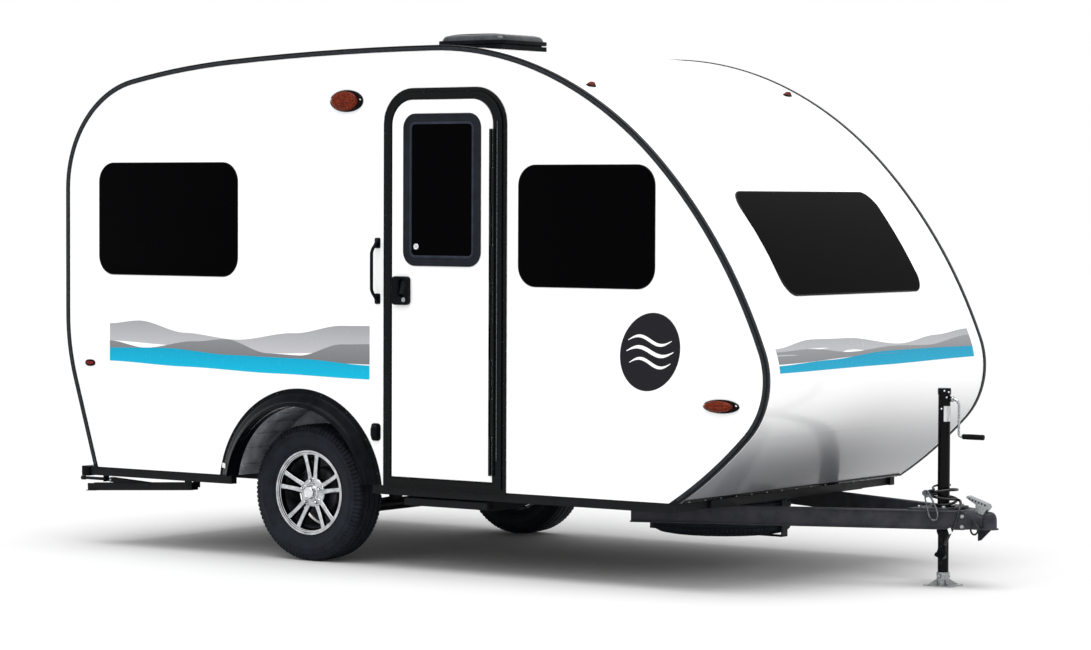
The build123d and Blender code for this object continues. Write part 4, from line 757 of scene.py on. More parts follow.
class TrailerWheelSettings(bpy.types.PropertyGroup):
    """Sizes of the wheels' visible detail."""

    tread_blocks: IntProperty(
        name="Shoulder blocks", description="Blocks round each shoulder of the tread", default=92
    )
    groove_depth: FloatProperty(
        name="Groove depth", description="Depth of the tread's grooves",
        default=0.0075, unit="LENGTH",
    )
    spoke_pairs: IntProperty(name="Spoke pairs", description="Split spokes in each wheel", default=5)
    spoke_width: FloatProperty(
        name="Spoke width", description="Width of one leg of a split spoke",
        default=0.0225, unit="LENGTH",
    )


class TrailerStageSettings(bpy.types.PropertyGroup):
    """The studio: camera and lights."""

    focal_length: FloatProperty(
        name="Focal length", description="Camera lens", default=114.33, subtype="DISTANCE_CAMERA"
    )
    key_power: FloatProperty(
        name="Key light", description="Power of the large side light", default=110.0, unit="POWER"
    )
    overhead_power: FloatProperty(
        name="Overhead light", description="Strength of the broad light overhead", default=2.2
    )


# ---------------- finishes of the frame
class TRAILER_OT_finishes(bpy.types.Operator):
    """Gives every piece of the frame the finish of the real one, with painted shade on the lower nose and
    under the body
    """

    bl_idname = "trailer.finishes"
    bl_label = "Frame finishes"

    def execute(self, context):
        finishes = {
            gelcoat(): ("right_wall", "left_wall", "roof_panel", "rear_panel", "door_leaf"),
            # The nose's gelcoat carries painted shade, grey low down and white higher up.
            gelcoat("Gelcoat, gloss white, painted shade low on the nose", (0.46, 0.97)): ("front_panel",),
            floor_board(): ("floor_panel",),
            grey_liner(): ("wheel_wells",),
            tinted_acrylic(): ("right_windows", "left_windows", "front_window", "door_window_glass"),
            black_abs(): (
                "cable_hatch", "door_latch", "vent_base", "fender_flares", "grab_handle", "trailer_plug",
            ),
            slate_abs(): ("door_window_frame",),
            black_trim_metal(): ("door_frame", "door_hinge", "edge_trims"),
            amber_acrylic(): ("amber_lamps",),
            red_acrylic(): ("red_lamps",),
            smoked_polycarbonate(): ("vent_lid",),
            cable_sheath(): ("wiring_coil", "wiring_lead", "safety_cable"),
            powder_coat(): ("tongue_rails", "coupler", "jack_plate"),
            # Under the body the coat is darkened to black: painted shade.
            powder_coat_in_painted_shade(): (
                "chassis_rails", "chassis_crossmembers", "rear_bumper",
                "axle_beam", "leaf_springs", "entry_step", "step_runners", "spare_carrier",
                "stabilizer_brackets", "right_stabilizer_leg", "left_stabilizer_leg",
                "right_stabilizer_brace", "left_stabilizer_brace",
            ),
            gloss_black_paint(): ("jack_tube", "jack_leg"),
            zinc_plate(): (
                "coupler_latch", "jack_foot", "right_stabilizer_nut", "left_stabilizer_nut", "safety_hook",
            ),
            zinc_bright(): ("jack_crank",),
            white_plastic(): ("spare_rim",),
            tyre_rubber(): ("spare_tyre", "right_tyre", "left_tyre"),
            machined_aluminium(): ("right_rim", "left_rim"),
            chrome_plate(): ("right_hub", "left_hub"),
        }
        for finish, nodes in finishes.items():
            for node in nodes:
                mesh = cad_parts[node].data
                mesh.materials.clear()
                mesh.materials.append(finish)
        return {"FINISHED"}


# ---------------- wheels
def tyre_shape(blocks, groove, half=0.1025, crown=0.334, bead=0.0745, rim=0.2085):
    """A ribbed highway tyre about z: bead, ringed sidewall, lugged shoulder and four grooves."""
    side = [
        (rim - 0.0175, bead), (rim, bead), (rim + 0.006, bead + 0.0045), (rim + 0.01, bead + 0.0045),
        (rim + 0.012, bead + 0.008), (rim + 0.022, bead + 0.016), (rim + 0.024, bead + 0.0172),
        (rim + 0.0265, bead + 0.0172), (rim + 0.028, bead + 0.0185), (rim + 0.045, half - 0.0022),
        (rim + 0.06, half - 0.0008), (rim + 0.062, half), (rim + 0.0655, half),
        (rim + 0.0675, half - 0.0014),
        (rim + 0.08, half - 0.003), (rim + 0.09, half - 0.0052), (rim + 0.0915, half - 0.0046),
        (rim + 0.0935, half - 0.0056), (crown - 0.022, half - 0.0115), (crown - 0.0135, half - 0.015),
        (crown - 0.0075, half - 0.0195), (crown - 0.0035, half - 0.0255),
    ]
    ribs = []
    grooves = (0.0575, 0.0205)
    across = half - 0.03
    crown_at = lambda z: crown - 0.003 * (z / across) ** 2
    edges = [across]
    for centre in grooves:
        edges += [centre + 0.0052, centre + 0.0036, centre - 0.0036, centre - 0.0052]
    depth = [0, 0, 1, 1, 0, 0, 1, 1, 0]
    for z, deep in zip(edges, depth):
        ribs.append((crown_at(z) - groove * deep, z))
    half_profile = side + ribs
    profile = half_profile + [(r, -z) for r, z in half_profile[::-1]]
    profile = np.array(profile)
    steps = blocks * 4
    rings = []
    count = len(half_profile)
    sided = np.arange(len(profile))
    sided = np.minimum(sided, len(profile) - 1 - sided)
    lug_zone = (sided >= count - 15) & (sided <= count - 9)
    rib_zone = (sided > count - 9)
    for k in range(steps):
        turn = 2 * pi * k / steps
        radius = profile[:, 0].copy()
        width = profile[:, 1].copy()
        if k % 4 == 0:
            radius -= np.where(lug_zone, 0.0048, 0)
            width -= np.sign(width) * np.where(lug_zone, 0.003, 0)
        if k % 4 == 2:
            radius -= np.where(rib_zone & (profile[:, 0] > crown - 0.004), 0.0016, 0)
        shift = 0.35 * (2 * pi / steps) * np.sign(width) * np.where(sided > count - 12, 1.0, 0)
        rings.append(np.column_stack([radius * np.cos(turn + shift), radius * np.sin(turn + shift), width]))
    points, faces = rings_shape(rings, loop=True)
    return points, [face[::-1] for face in faces]


def rim_shape(flange=0.208, half=0.08, bead=0.0755, drop=0.178):
    """The turned part of the rim: rolled lips, bead seats and the dropped barrel."""
    outer = [
        (0.185, half - 0.019), (0.1862, half - 0.0125), (0.1885, half - 0.0112), (0.193, half - 0.0108),
        (0.1945, half - 0.0095), (0.196, half - 0.004), (0.1985, half - 0.0008), (0.203, half + 0.0),
        (0.2068, half - 0.001), (flange, half - 0.0032), (flange - 0.001, bead + 0.0002),
        (0.19, bead), (0.188, bead - 0.022), (drop + 0.001, bead - 0.04), (drop, bead - 0.06),
    ]
    profile = outer + [(drop, -bead + 0.06), (drop + 0.001, -bead + 0.04), (0.188, -bead + 0.022),
                       (0.19, -bead), (flange - 0.001, -bead), (flange, -half + 0.003),
                       (0.2035, -half), (0.1975, -half + 0.002), (0.185, -half + 0.016)]
    profile += [(0.1835, -bead + 0.024), (drop - 0.004, -bead + 0.042), (drop - 0.005, -bead + 0.062),
                (drop - 0.005, bead - 0.062), (drop - 0.003, bead - 0.044), (0.1845, bead - 0.026)]
    return turned(profile, 128, closed=True)


def spoke_shape(side, width, start=0.05, end=0.1905):
    """One leg of a split spoke along +x: crowned on its face, bowed outwards to the lip."""
    rings = []
    for t in np.linspace(0, 1, 15):
        reach = start + (end - start) * t
        centre = side * (0.015 + 0.024 * t ** 1.5)
        wide = width * (1.2 - 0.42 * t + 0.55 * t ** 4)
        top = 0.0505 + 0.016 * t ** 1.4
        deep = 0.021 + 0.012 * (1 - t) ** 2
        half = wide / 2
        section = (
            (half, -deep), (half * 1.04, -deep * 0.25), (half * 0.98, -0.003), (half * 0.86, -0.001),
            (half * 0.62, 0), (0, 0.0004), (-half * 0.62, 0), (-half * 0.86, -0.001),
            (-half * 0.98, -0.003), (-half * 1.04, -deep * 0.25), (-half, -deep), (0, -deep - 0.002),
        )
        rings.append([(reach, centre + y, top + z) for y, z in section])
    return rings_shape(rings)


def around(shape, count, start=0.0):
    """Copies of a shape turned evenly about z."""
    copies = []
    for k in range(count):
        turn = start + 2 * pi * k / count
        c, s = cos(turn), sin(turn)
        spin = np.array([[c, s, 0], [-s, c, 0], [0, 0, 1]])
        copies.append((shape[0] @ spin, shape[1]))
    return joined(*copies)


def hub_face_shape():
    """The wheel's centre: a scalloped boss with a raised ring round the cap."""
    profile = [
        (0.0345, 0.03), (0.0345, 0.056), (0.0365, 0.0575), (0.042, 0.057), (0.045, 0.0535),
        (0.065, 0.0515), (0.072, 0.048), (0.0755, 0.042), (0.076, 0.018), (0.07, 0.002),
        (0.042, 0.002),
    ]
    return turned(profile, 80, closed=True)


def lug_nut_shape():
    """A chromed acorn lug nut standing on its conical seat."""
    cone = turned(
        [(0, 0), (0.0165, 0), (0.0172, 0.002), (0.0158, 0.0035), (0.0135, 0.001)], 32
    )
    hexagon = outline_circle(0.0105, 6)
    smooth = outline_circle(0.0095, 6)
    rings = [flat_ring(hexagon, 0), flat_ring(hexagon, 0.015), flat_ring(smooth, 0.0175)]
    rings += [flat_ring(outline_circle(0.0082, 6), 0.0205), flat_ring(outline_circle(0.0055, 6), 0.0235)]
    rings += [flat_ring(outline_circle(0.0022, 6), 0.0248)]
    return joined(cone, rings_shape(rings))


def cap_shape(base=0.052, reach=0.0335):
    """The bearing's chrome dust cap: a straight cup with a rolled foot and a domed end."""
    profile = [
        (0.0335, base - 0.02), (0.0335, base + 0.002), (0.035, base + 0.004), (0.0335, base + 0.006),
        (0.0315, base + 0.0075), (0.031, base + reach - 0.008), (0.03, base + reach - 0.0035),
        (0.027, base + reach - 0.0008), (0.0235, base + reach), (0.0225, base + reach - 0.0012),
        (0.012, base + reach - 0.0004), (0, base + reach),
    ]
    return turned(profile, 64)


class TRAILER_OT_wheels(bpy.types.Operator):
    """Builds the tyres, split-spoke rims, hubs, nuts and valves of both wheels"""

    bl_idname = "trailer.wheels"
    bl_label = "Wheels"

    def execute(self, context):
        settings = context.scene.trailer_wheels
        tyre = tyre_shape(settings.tread_blocks, settings.groove_depth)
        low, high = cad("right_tyre")
        centre = (low + high) / 2
        spokes = joined(*[spoke_shape(side, settings.spoke_width) for side in (-1, 1)])
        web = rings_shape([
            [(x, y, z) for y, z in ((-0.012, 0.03), (0.012, 0.03), (0.01, 0.049 + s), (-0.01, 0.049 + s))]
            for x, s in ((0.045, 0), (0.062, 0.0012), (0.075, -0.002))
        ])
        face = joined(around(joined(spokes, web), settings.spoke_pairs, pi / 2), hub_face_shape())
        nuts = around(
            placed(lug_nut_shape(), (0.057, 0, 0.0505)), settings.spoke_pairs, pi / 2
        )
        sleeve = turned([
            (0.1722, -0.062), (0.1722, 0.02), (0.178, 0.042), (0.177, 0.0425), (0.1712, 0.0205),
            (0.1712, -0.062),
        ], 96, closed=True)
        drum = turned([
            (0.02, -0.076), (0.16, -0.076), (0.164, -0.073), (0.164, -0.0715), (0.1595, -0.0735),
            (0.12, -0.0735), (0.118, -0.0715), (0.118, -0.07), (0.118, -0.048), (0.1155, -0.046),
            (0.1155, -0.044), (0.118, -0.042), (0.118, -0.008), (0.112, -0.001), (0.06, 0.0015),
            (0.04, 0.0015),
        ], 96)
        stem = joined(
            rod([(0.176, 0, 0.03), (0.168, 0, 0.048), (0.164, 0, 0.058)], [0.0055, 0.0045, 0.004], 14),
            rod([(0.164, 0, 0.058), (0.1625, 0, 0.066)], 0.0046, 14),
        )
        alloy, bright = machined_aluminium(), chrome_plate()
        parts = (
            ("tyre", tyre, tyre_rubber(), "tyre", 28, "tyre"),
            ("barrel", rim_shape(), alloy, "wheel_metal", 40, "rim"),
            ("spokes", face, alloy, "wheel_metal", 40, None),
            ("cap", joined(cap_shape(), nuts), bright, "chrome", 40, "hub"),
            ("drum", joined(drum, sleeve), dark_cast_and_hole_shade(), "black_metal", 35, None),
            ("valve", stem, soft_rubber(), "tyre", 35, None),
        )
        for name, side in (("right", -1), ("left", 1)):
            put = {
                "origin": (centre[0], side * abs(centre[1]), centre[2]),
                "x": (-side, 0, 0), "z": (0, side, 0),
            }
            for part, shape, coat, slot, smooth, node in parts:
                piece(
                    f"{name}_wheel_{part}", placed(shape, **put), coat, smooth,
                    body=f"{name}_wheel", replaces=node and f"{name}_{node}",
                )
        low, high = cad("spare_tyre")
        centre = (low + high) / 2
        piece(
            "spare_wheel_tyre", placed(tyre, centre, (1, 0, 0), (0, 0, -1)),
            tyre_rubber(), 28, replaces="spare_tyre",
        )
        return {"FINISHED"}


# ---------------- cables on the tongue
def soft_curve(name, points, radius, finish):
    """A free cable: one smooth spline whose control points are the route's points."""
    curve = bpy.data.curves.new(name, "CURVE")
    curve.dimensions = "3D"
    curve.bevel_depth = 1.0
    curve.bevel_resolution = 6
    curve.resolution_u = 12
    curve.use_fill_caps = True
    spline = curve.splines.new("NURBS")
    spline.points.add(len(points) - 1)
    for point, place in zip(spline.points, points):
        point.co = (*place, 1.0)
        point.radius = radius
    spline.use_endpoint_u = True
    spline.order_u = 3
    curve.materials.append(finish)
    made = bpy.data.objects.new(name, curve)
    bpy.context.scene.collection.objects.link(made)
    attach(made, "trailer")
    return made


def curve_length(made):
    """Length of a cable's own line."""
    bevel, made.data.bevel_depth = made.data.bevel_depth, 0.0
    mesh = bpy.data.meshes.new_from_object(made)
    places = [v.co.copy() for v in mesh.vertices]
    bpy.data.meshes.remove(mesh)
    made.data.bevel_depth = bevel
    return sum((b - a).length for a, b in zip(places, places[1:]))


def turns_round(centre, start, end, radii, heights, tilt=0.0, per_turn=14):
    """Loose turns round a post: angles in degrees, radius and height eased between values, tilted."""
    count = max(2, round(abs(end - start) / 360 * per_turn))
    points = []
    for k in range(count + 1):
        share = k / count
        turn = radians(start + (end - start) * share)
        radius = float(np.interp(share, np.linspace(0, 1, len(radii)), radii))
        height = float(np.interp(share, np.linspace(0, 1, len(heights)), heights))
        height -= tilt * cos(turn + 0.7) * sin(pi * min(1.0, 4 * share))
        points.append((centre[0] + radius * cos(turn), centre[1] + radius * sin(turn), height))
    return points


def plug_shape(length, width):
    """A seven-way plug along +z: ribbed boot, grip body with side fins, square nose and lid lip."""
    boot = turned([
        (0, 0), (0.0085, 0), (0.009, 0.002), (0.0082, 0.004), (0.0095, 0.006), (0.0088, 0.008),
        (0.0103, 0.01), (0.0096, 0.012), (0.0112, 0.014), (0.0105, 0.017), (0.014, length / 3),
        (0, length / 3),
    ], 28)
    body = rounded_stack([(z, wide, wide, corner) for z, wide, corner in (
        (length / 3 - 0.001, width - 0.012, 0.012), (length / 3 + 0.002, width - 0.008, 0.011),
        (length - 0.016, width - 0.008, 0.01), (length - 0.0145, width - 0.001, 0.007),
        (length - 0.013, width, 0.006), (length - 0.0015, width, 0.006), (length, width - 0.003, 0.005),
    )], 4)
    fins = [
        placed(
            rounded_box((0.003, 0.0022, length / 3), 0.0008), (side * (width / 2 - 0.004), y, length * 0.55)
        )
        for side in (-1, 1) for y in (-0.011, -0.0055, 0, 0.0055, 0.011)
    ]
    lip = placed(rounded_box((0.016, 0.005, 0.01), 0.0015), (0, width / 2 + 0.001, length - 0.007))
    return joined(boot, body, lip, *fins)


class TRAILER_OT_cables(bpy.types.Operator):
    """Winds the wiring cable and the safety cable round the jack, with the plug and the hook"""

    bl_idname = "trailer.cables"
    bl_label = "Cables"

    def execute(self, context):
        low, high = cad("wiring_coil")
        centre = (low + high) / 2
        foot = low[2]
        cable = 0.0065
        turns = turns_round(
            centre, 205, 205 + 360 * 2 + 112,
            (0.046, 0.058, 0.066, 0.063, 0.068, 0.062, 0.066, 0.06),
            (0.372, 0.386, 0.404, 0.424, 0.446, 0.44, 0.42, 0.4025), 0.008,
        )
        route = turns + [
            (centre[0] + 0.084, centre[1] - 0.024, foot + 0.03),
            (centre[0] + 0.118, centre[1] - 0.048, foot + 0.024),
            (2.268, -0.102, 0.366),
            (2.256, -0.114, 0.3),
            (2.224, -0.119, 0.245),
            (2.201, -0.116, 0.198),
        ]
        lead = soft_curve("wiring_cable", route, cable, cable_sheath())
        end, before = np.array(route[-1]), np.array(route[-2])
        down = (end - before) / np.linalg.norm(end - before)
        plug = piece(
            "wiring_plug", placed(plug_shape(0.062, 0.044), end - down * 0.0005, (1, 0, 0.4), down),
            black_abs(), 30, replaces="trailer_plug",
        )
        tag_place = np.array((2.233, -0.1262, 0.266))
        tag = piece(
            "wiring_tag", placed(
                rounded_box((0.016, 0.0006, 0.026), 0.0002), tag_place, (0.9, 0.1, 0.35), (-0.35, 0, 0.94)
            ),
            white_plastic(),
        )
        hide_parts("wiring_coil", "wiring_lead")
        curve_length(lead)

        strand = 0.005
        route = turns_round(
            centre, -290, -110, (0.04, 0.048, 0.053), (foot + 0.088, foot + 0.086, foot + 0.07),
        ) + [
            (centre[0] - 0.0356, centre[1] - 0.0977, foot + 0.066),
            (2.116, -0.143, 0.438),
        ]
        cable_piece = soft_curve("safety_strand", route, strand, cable_sheath())
        hook = self.hook(route)
        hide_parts("safety_cable")
        curve_length(cable_piece)
        return {"FINISHED"}

    def hook(self, route):
        """The snap hook: ferrule, swivel eye, bent bow, nose and sprung gate."""
        end, before = np.array(route[-1]), np.array(route[-2])
        inwards = (end - before) / np.linalg.norm(end - before)
        centre = end + inwards * 0.0245
        out = np.array((0.387, -0.922, 0))
        down = np.array((0.321, 0.135, -0.937))
        down /= np.linalg.norm(down)
        side = np.cross(out, down)
        ferrule = placed(
            turned([(0, 0), (0.0062, 0), (0.008, 0.0015), (0.008, 0.0185), (0.0062, 0.02), (0, 0.02)], 24),
            end, side, inwards,
        )
        place = lambda a, b: centre + down * a + side * b
        bow = []
        for a, b in (
            (-0.006, 0.0105), (0.01, 0.015), (0.045, 0.0185), (0.088, 0.0215), (0.112, 0.0185),
            (0.128, 0.008), (0.131, -0.005), (0.122, -0.016), (0.106, -0.02), (0.092, -0.02),
        ):
            bow.append(place(a, b))
        bow = rod(smooth_path(bow, 5), 0.0046, 14)
        eye_ring = rod(
            [
                place(0.0105 * cos(t), 0.012 * sin(t)) for t in np.linspace(0, 2 * pi, 28)[:-1]
            ], 0.0042, 12, True
        )
        gate = rod(
            [place(0.022, -0.01), place(0.06, -0.015), place(0.098, -0.0195)], [0.0034, 0.0036, 0.0042], 12
        )
        bridge = rod([place(0.018, -0.011), place(0.016, 0.014)], 0.005, 12)
        spring = rod([place(0.014, 0.014), place(0.03, 0.0165)], 0.0062, 14)
        made = piece(
            "safety_snap_hook", joined(ferrule, eye_ring, bow, gate, bridge, spring),
            galvanised_steel(), 50, replaces="safety_hook",
        )
        return made


# ---------------- windows and seals
class TRAILER_OT_windows(bpy.types.Operator):
    """Fits the side and front windows with bevelled panes and their black rubber seals, which are also
    painted shade at the windows' edges
    """

    bl_idname = "trailer.windows"
    bl_label = "Windows"

    def execute(self, context):
        seal = context.scene.trailer_shell.seal_width
        corner = 0.095
        panes, seals = [], []
        for test in (lambda p: p[0] < -0.5, lambda p: p[0] > -0.5):
            low, high = part_box("right_windows", test)
            at = wall_middle(low, high)
            width, height = high[0] - low[0], high[2] - low[2]
            pane = plate(outline_rounded(width - 0.002, height - 0.002, corner, 10), 0.0052, 0.0022, 4)
            panes.append(facing_out(pane, at))
            # The seal's black ring is also painted shade at the window's edge.
            ring = collar(
                outline_rounded(width + 2 * seal * 0.4, height + 2 * seal * 0.4, corner + seal * 0.4, 10),
                outline_rounded(width - 0.0025, height - 0.0025, corner - 0.001, 10),
                0.003, 0.001,
            )
            seals.append(facing_out(ring, at))
        for name, flip in (("right", False), ("left", True)):
            shape = joined(*panes)
            piece(
                f"{name}_window_panes", mirrored(shape) if flip else shape,
                tinted_acrylic(), 30, replaces=f"{name}_windows",
            )
        low, high = cad("front_window")
        rim = outline_rounded(high[1] - low[1], high[2] - low[2], 0.08, 12)
        path = [on_front((low[2] + high[2]) / 2 + z, y, 0.0015)[0] for y, z in rim]
        seals = both_sides(*seals)
        # The front window's black seal is also painted shade at its edge.
        front_seal = rod(path, 0.0042, 10, True)
        piece("window_seals_and_painted_edge_shade", joined(seals, front_seal), soft_rubber(), 60)
        return {"FINISHED"}


# ---------------- door, latch and handle
def leaf_outline(grow, hinge_side=0.0, steps=10):
    """The door leaf's outline grown by an amount, and by more on its hinge side, with its centre.

    The top corners are round and the bottom ones nearly square.
    """
    low, high = cad("door_leaf")
    width = high[0] - low[0] + 2 * grow + hinge_side
    height = high[2] - low[2] + 2 * grow
    centre = ((low[0] + high[0]) / 2 + hinge_side / 2, (low[2] + high[2]) / 2)
    top, bottom = 0.12 + grow, 0.004 + max(grow, 0) * 0.2
    return outline_rounded(width, height, (top, top, bottom, bottom), steps), centre


def face_path(points, centre, stand_off):
    """An outline of (x, z) about a centre, as 3D points standing off the right wall."""
    return [on_wall(centre[0] + x, centre[1] + z, stand_off) for x, z in points]


class TRAILER_OT_door(bpy.types.Operator):
    """Details the door: frame beads and splices, seal, window frame, locks and paddle latch"""

    bl_idname = "trailer.door"
    bl_label = "Door"

    def execute(self, context):
        self.frame_details()
        self.window_details()
        self.latch()
        return {"FINISHED"}

    def frame_details(self):
        beads = []
        for grow, hinge_side, stand, radius in (
            (0.0085, 0, 0.0118, 0.0016), (0.03, 0.022, 0.0115, 0.0022), (0.0525, 0.0225, 0.0042, 0.0024),
        ):
            points, centre = leaf_outline(grow, hinge_side)
            beads.append(rod(face_path(points, centre, stand), radius, 8, True))
        low, high = cad("door_leaf")
        upright = lambda x, stand: [on_wall(x, low[2] + 0.1, stand), on_wall(x, high[2] - 0.105, stand)]
        for beside, radius in ((0.021, 0.002), (0.033, 0.0026), (0.042, 0.0018)):
            beads.append(rod(upright(high[0] + beside, 0.0116), radius, 8))
        piece("door_frame_beads", joined(*beads), black_trim_metal(), 50)
        # A thin bright zinc line in the groove on the hinge side: painted highlight on the frame's ridge.
        line = rod(upright(high[0] + 0.0272, 0.0118), 0.0009, 6)
        piece("door_hinge_painted_highlight", line, zinc_plate())
        self.hinge()

        points, centre = leaf_outline(0.0465, 0.0225, 14)
        above = [p for p in face_path(points, centre, 0.0049) if p[2] > 2.15]
        above.sort(key=lambda p: atan2(p[2] - 1.9, p[0] - centre[0]))
        sleeve = swept(
            above, [
                (-0.0095, 0), (-0.0095, 0.0012), (-0.0075, 0.0024), (0.0075, 0.0024), (0.0095, 0.0012),
                (0.0095, 0)
            ], up=(0, -1, 0)
        )
        piece("door_frame_sleeve", sleeve, black_trim_metal(), 40)

        head_z, jambs, jamb_heights = 2.2725, (0.3605, -0.3345), np.linspace(0.52, 2.08, 9)
        places = [(0.0042, x, head_z) for x in (-0.115, 0.145)]
        places += [(0.0036, x, z) for x in jambs for z in jamb_heights]
        screws = [facing_out(screw_head(radius), on_wall(x, z, 0.0045)) for radius, x, z in places]
        piece("door_frame_screws", joined(*screws), black_screws(), 40)

        outer, centre = leaf_outline(0.0032)
        inner, _ = leaf_outline(0.0001)
        seal = collar(outer, inner, 0, 0.0012, -0.026)
        seal = facing_out(seal, on_wall(centre[0], centre[1], 0.0025))
        piece("door_seal", seal, soft_rubber(), 50, body="door")
        outer, centre = leaf_outline(-0.003)
        inner, _ = leaf_outline(-0.0085)
        edge = facing_out(collar(outer, inner, 0.0012, 0.0006, -0.001), on_wall(centre[0], centre[1], 0.008))
        piece("door_leaf_edge", edge, gelcoat(), 50, body="door")

    def hinge(self):
        """The hinge's moving half: a stepped strip on the leaf, with its knuckles on the pin."""
        low, high = cad("door_hinge")
        edge = cad("door_leaf")[1][0]
        pin_x, pin_y = high[0] - 0.005, low[1] + 0.005
        length, middle = high[2] - low[2], (low[2] + high[2]) / 2
        strip_y = (pin_y - 0.002 + high[1]) / 2
        strip = placed(
            rounded_box((0.0125, high[1] - pin_y + 0.002, length), 0.0012), (edge - 0.0078, strip_y, middle)
        )
        parts = [strip]
        pitch = length / 9
        for k in range(1, 9, 2):
            z = low[2] + (k + 0.5) * pitch
            arm = rounded_box((pin_x - edge + 0.014, 0.0036, pitch - 0.006), 0.0008)
            parts.append(placed(arm, ((pin_x + edge - 0.014) / 2, pin_y - 0.0002, z)))
            parts.append(
                rod(
                    [(pin_x, pin_y, z - pitch / 2 + 0.003), (pin_x, pin_y, z + pitch / 2 - 0.003)], 0.005, 16
                )
            )
        piece(
            "door_hinge_strip", joined(*parts),
            black_trim_metal(), 40, body="door", replaces="door_hinge",
        )

    def window_details(self):
        low, high = cad("door_window_glass")
        out_low, out_high = cad("door_window_frame")
        centre = wall_middle(low, high)
        width, height = high[0] - low[0], high[2] - low[2]
        grown = lambda grow, corner: outline_rounded(width + 2 * grow, height + 2 * grow, corner, 8)
        front = -(out_low[1] + wall_face)
        bevel = collar(grown(0.0105, 0.0305), grown(-0.0005, 0.0195), front + 0.0016, 0.0016, front - 0.004)
        # The bevel takes a lighter copy of the slate than the shoulder and frame beside it: painted light on
        # the bevel.
        piece(
            "door_window_bevel", facing_out(bevel, centre),
            slate_abs("ABS, moulded slate, painted light on the bevel", "#20252f", "#2b313d"), 40, body="door",
        )
        rim = out_high[0] - out_low[0]
        outer = outline_rounded(rim, out_high[2] - out_low[2], 0.07, 12)
        shoulder = collar(
            inset(outer, 0.0005), inset(outer, 0.012), front + 0.0014, 0.0014, front - 0.005,
        )
        middle = on_wall((out_low[0] + out_high[0]) / 2, (out_low[2] + out_high[2]) / 2)
        piece(
            "door_window_shoulder", facing_out(shoulder, middle),
            slate_abs(), 40, body="door",
        )
        lock = turned([
            (0, -0.004), (0.015, -0.004), (0.0152, 0.003), (0.014, 0.0046), (0.0105, 0.005), (0.01, 0.004),
            (0.0042, 0.004), (0.0038, 0.0018), (0, 0.0018),
        ], 48)
        slot_bar = placed(rounded_box((0.0115, 0.0022, 0.0016), 0.0005), (0, 0, 0.0042), (1, 1, 0))
        place = on_wall(low[0] + 0.027, low[2] + 0.042, -(low[1] + wall_face))
        piece(
            "door_window_lock", facing_out(joined(lock, slot_bar), place),
            chrome_plate(), 40, body="door",
        )

    def latch(self):
        low, high = cad("door_latch")
        centre = np.array([(low[0] + high[0]) / 2, high[1], (low[2] + high[2]) / 2])
        width, height, depth = high[0] - low[0], high[2] - low[2], high[1] - low[1]
        recess = outline_rounded(0.034, 0.082, 0.009, 6) + (0.012, 0.012)
        body = collar(outline_rounded(width, height, 0.019, 6), recess, depth, 0.0055, 0, 5)
        lip = collar(
            outline_rounded(width - 0.014, height - 0.014, 0.014, 6),
            outline_rounded(width - 0.018, height - 0.018, 0.012, 6), depth + 0.0009, 0.0004, depth - 0.002,
        )
        bowl = plate(inset(recess, -0.003), 0.0075, 0.0015, 2)
        paddle = placed(
            rounded_box((0.029, 0.066, 0.0045), 0.0018), (0.0125, 0.016, 0.015), (1, 0, 0.1), (-0.1, 0.16, 1)
        )
        side = placed(rounded_box((0.03, 0.084, 0.003), 0.0014), (-0.0235, 0.012, depth + 0.0004))
        piece(
            "door_latch_body", facing_out(joined(body, lip, bowl, side), centre),
            black_abs(), 40, body="door", replaces="door_latch",
        )
        piece(
            "door_latch_paddle", facing_out(paddle, centre),
            black_trim_metal(), 40, body="door",
        )
        key = turned([
            (0, -0.004), (0.0108, -0.004), (0.011, 0.0018), (0.01, 0.003), (0.0078, 0.0032),
            (0.0072, 0.0016),
            (0, 0.0016),
        ], 40)
        way = placed(rounded_box((0.002, 0.0085, 0.0012), 0.0004), (0, 0, 0.0018))
        piece(
            "door_latch_key", facing_out(joined(key, way), centre + np.array([0.026, -depth, -0.043])),
            zinc_plate(), 40, body="door",
        )


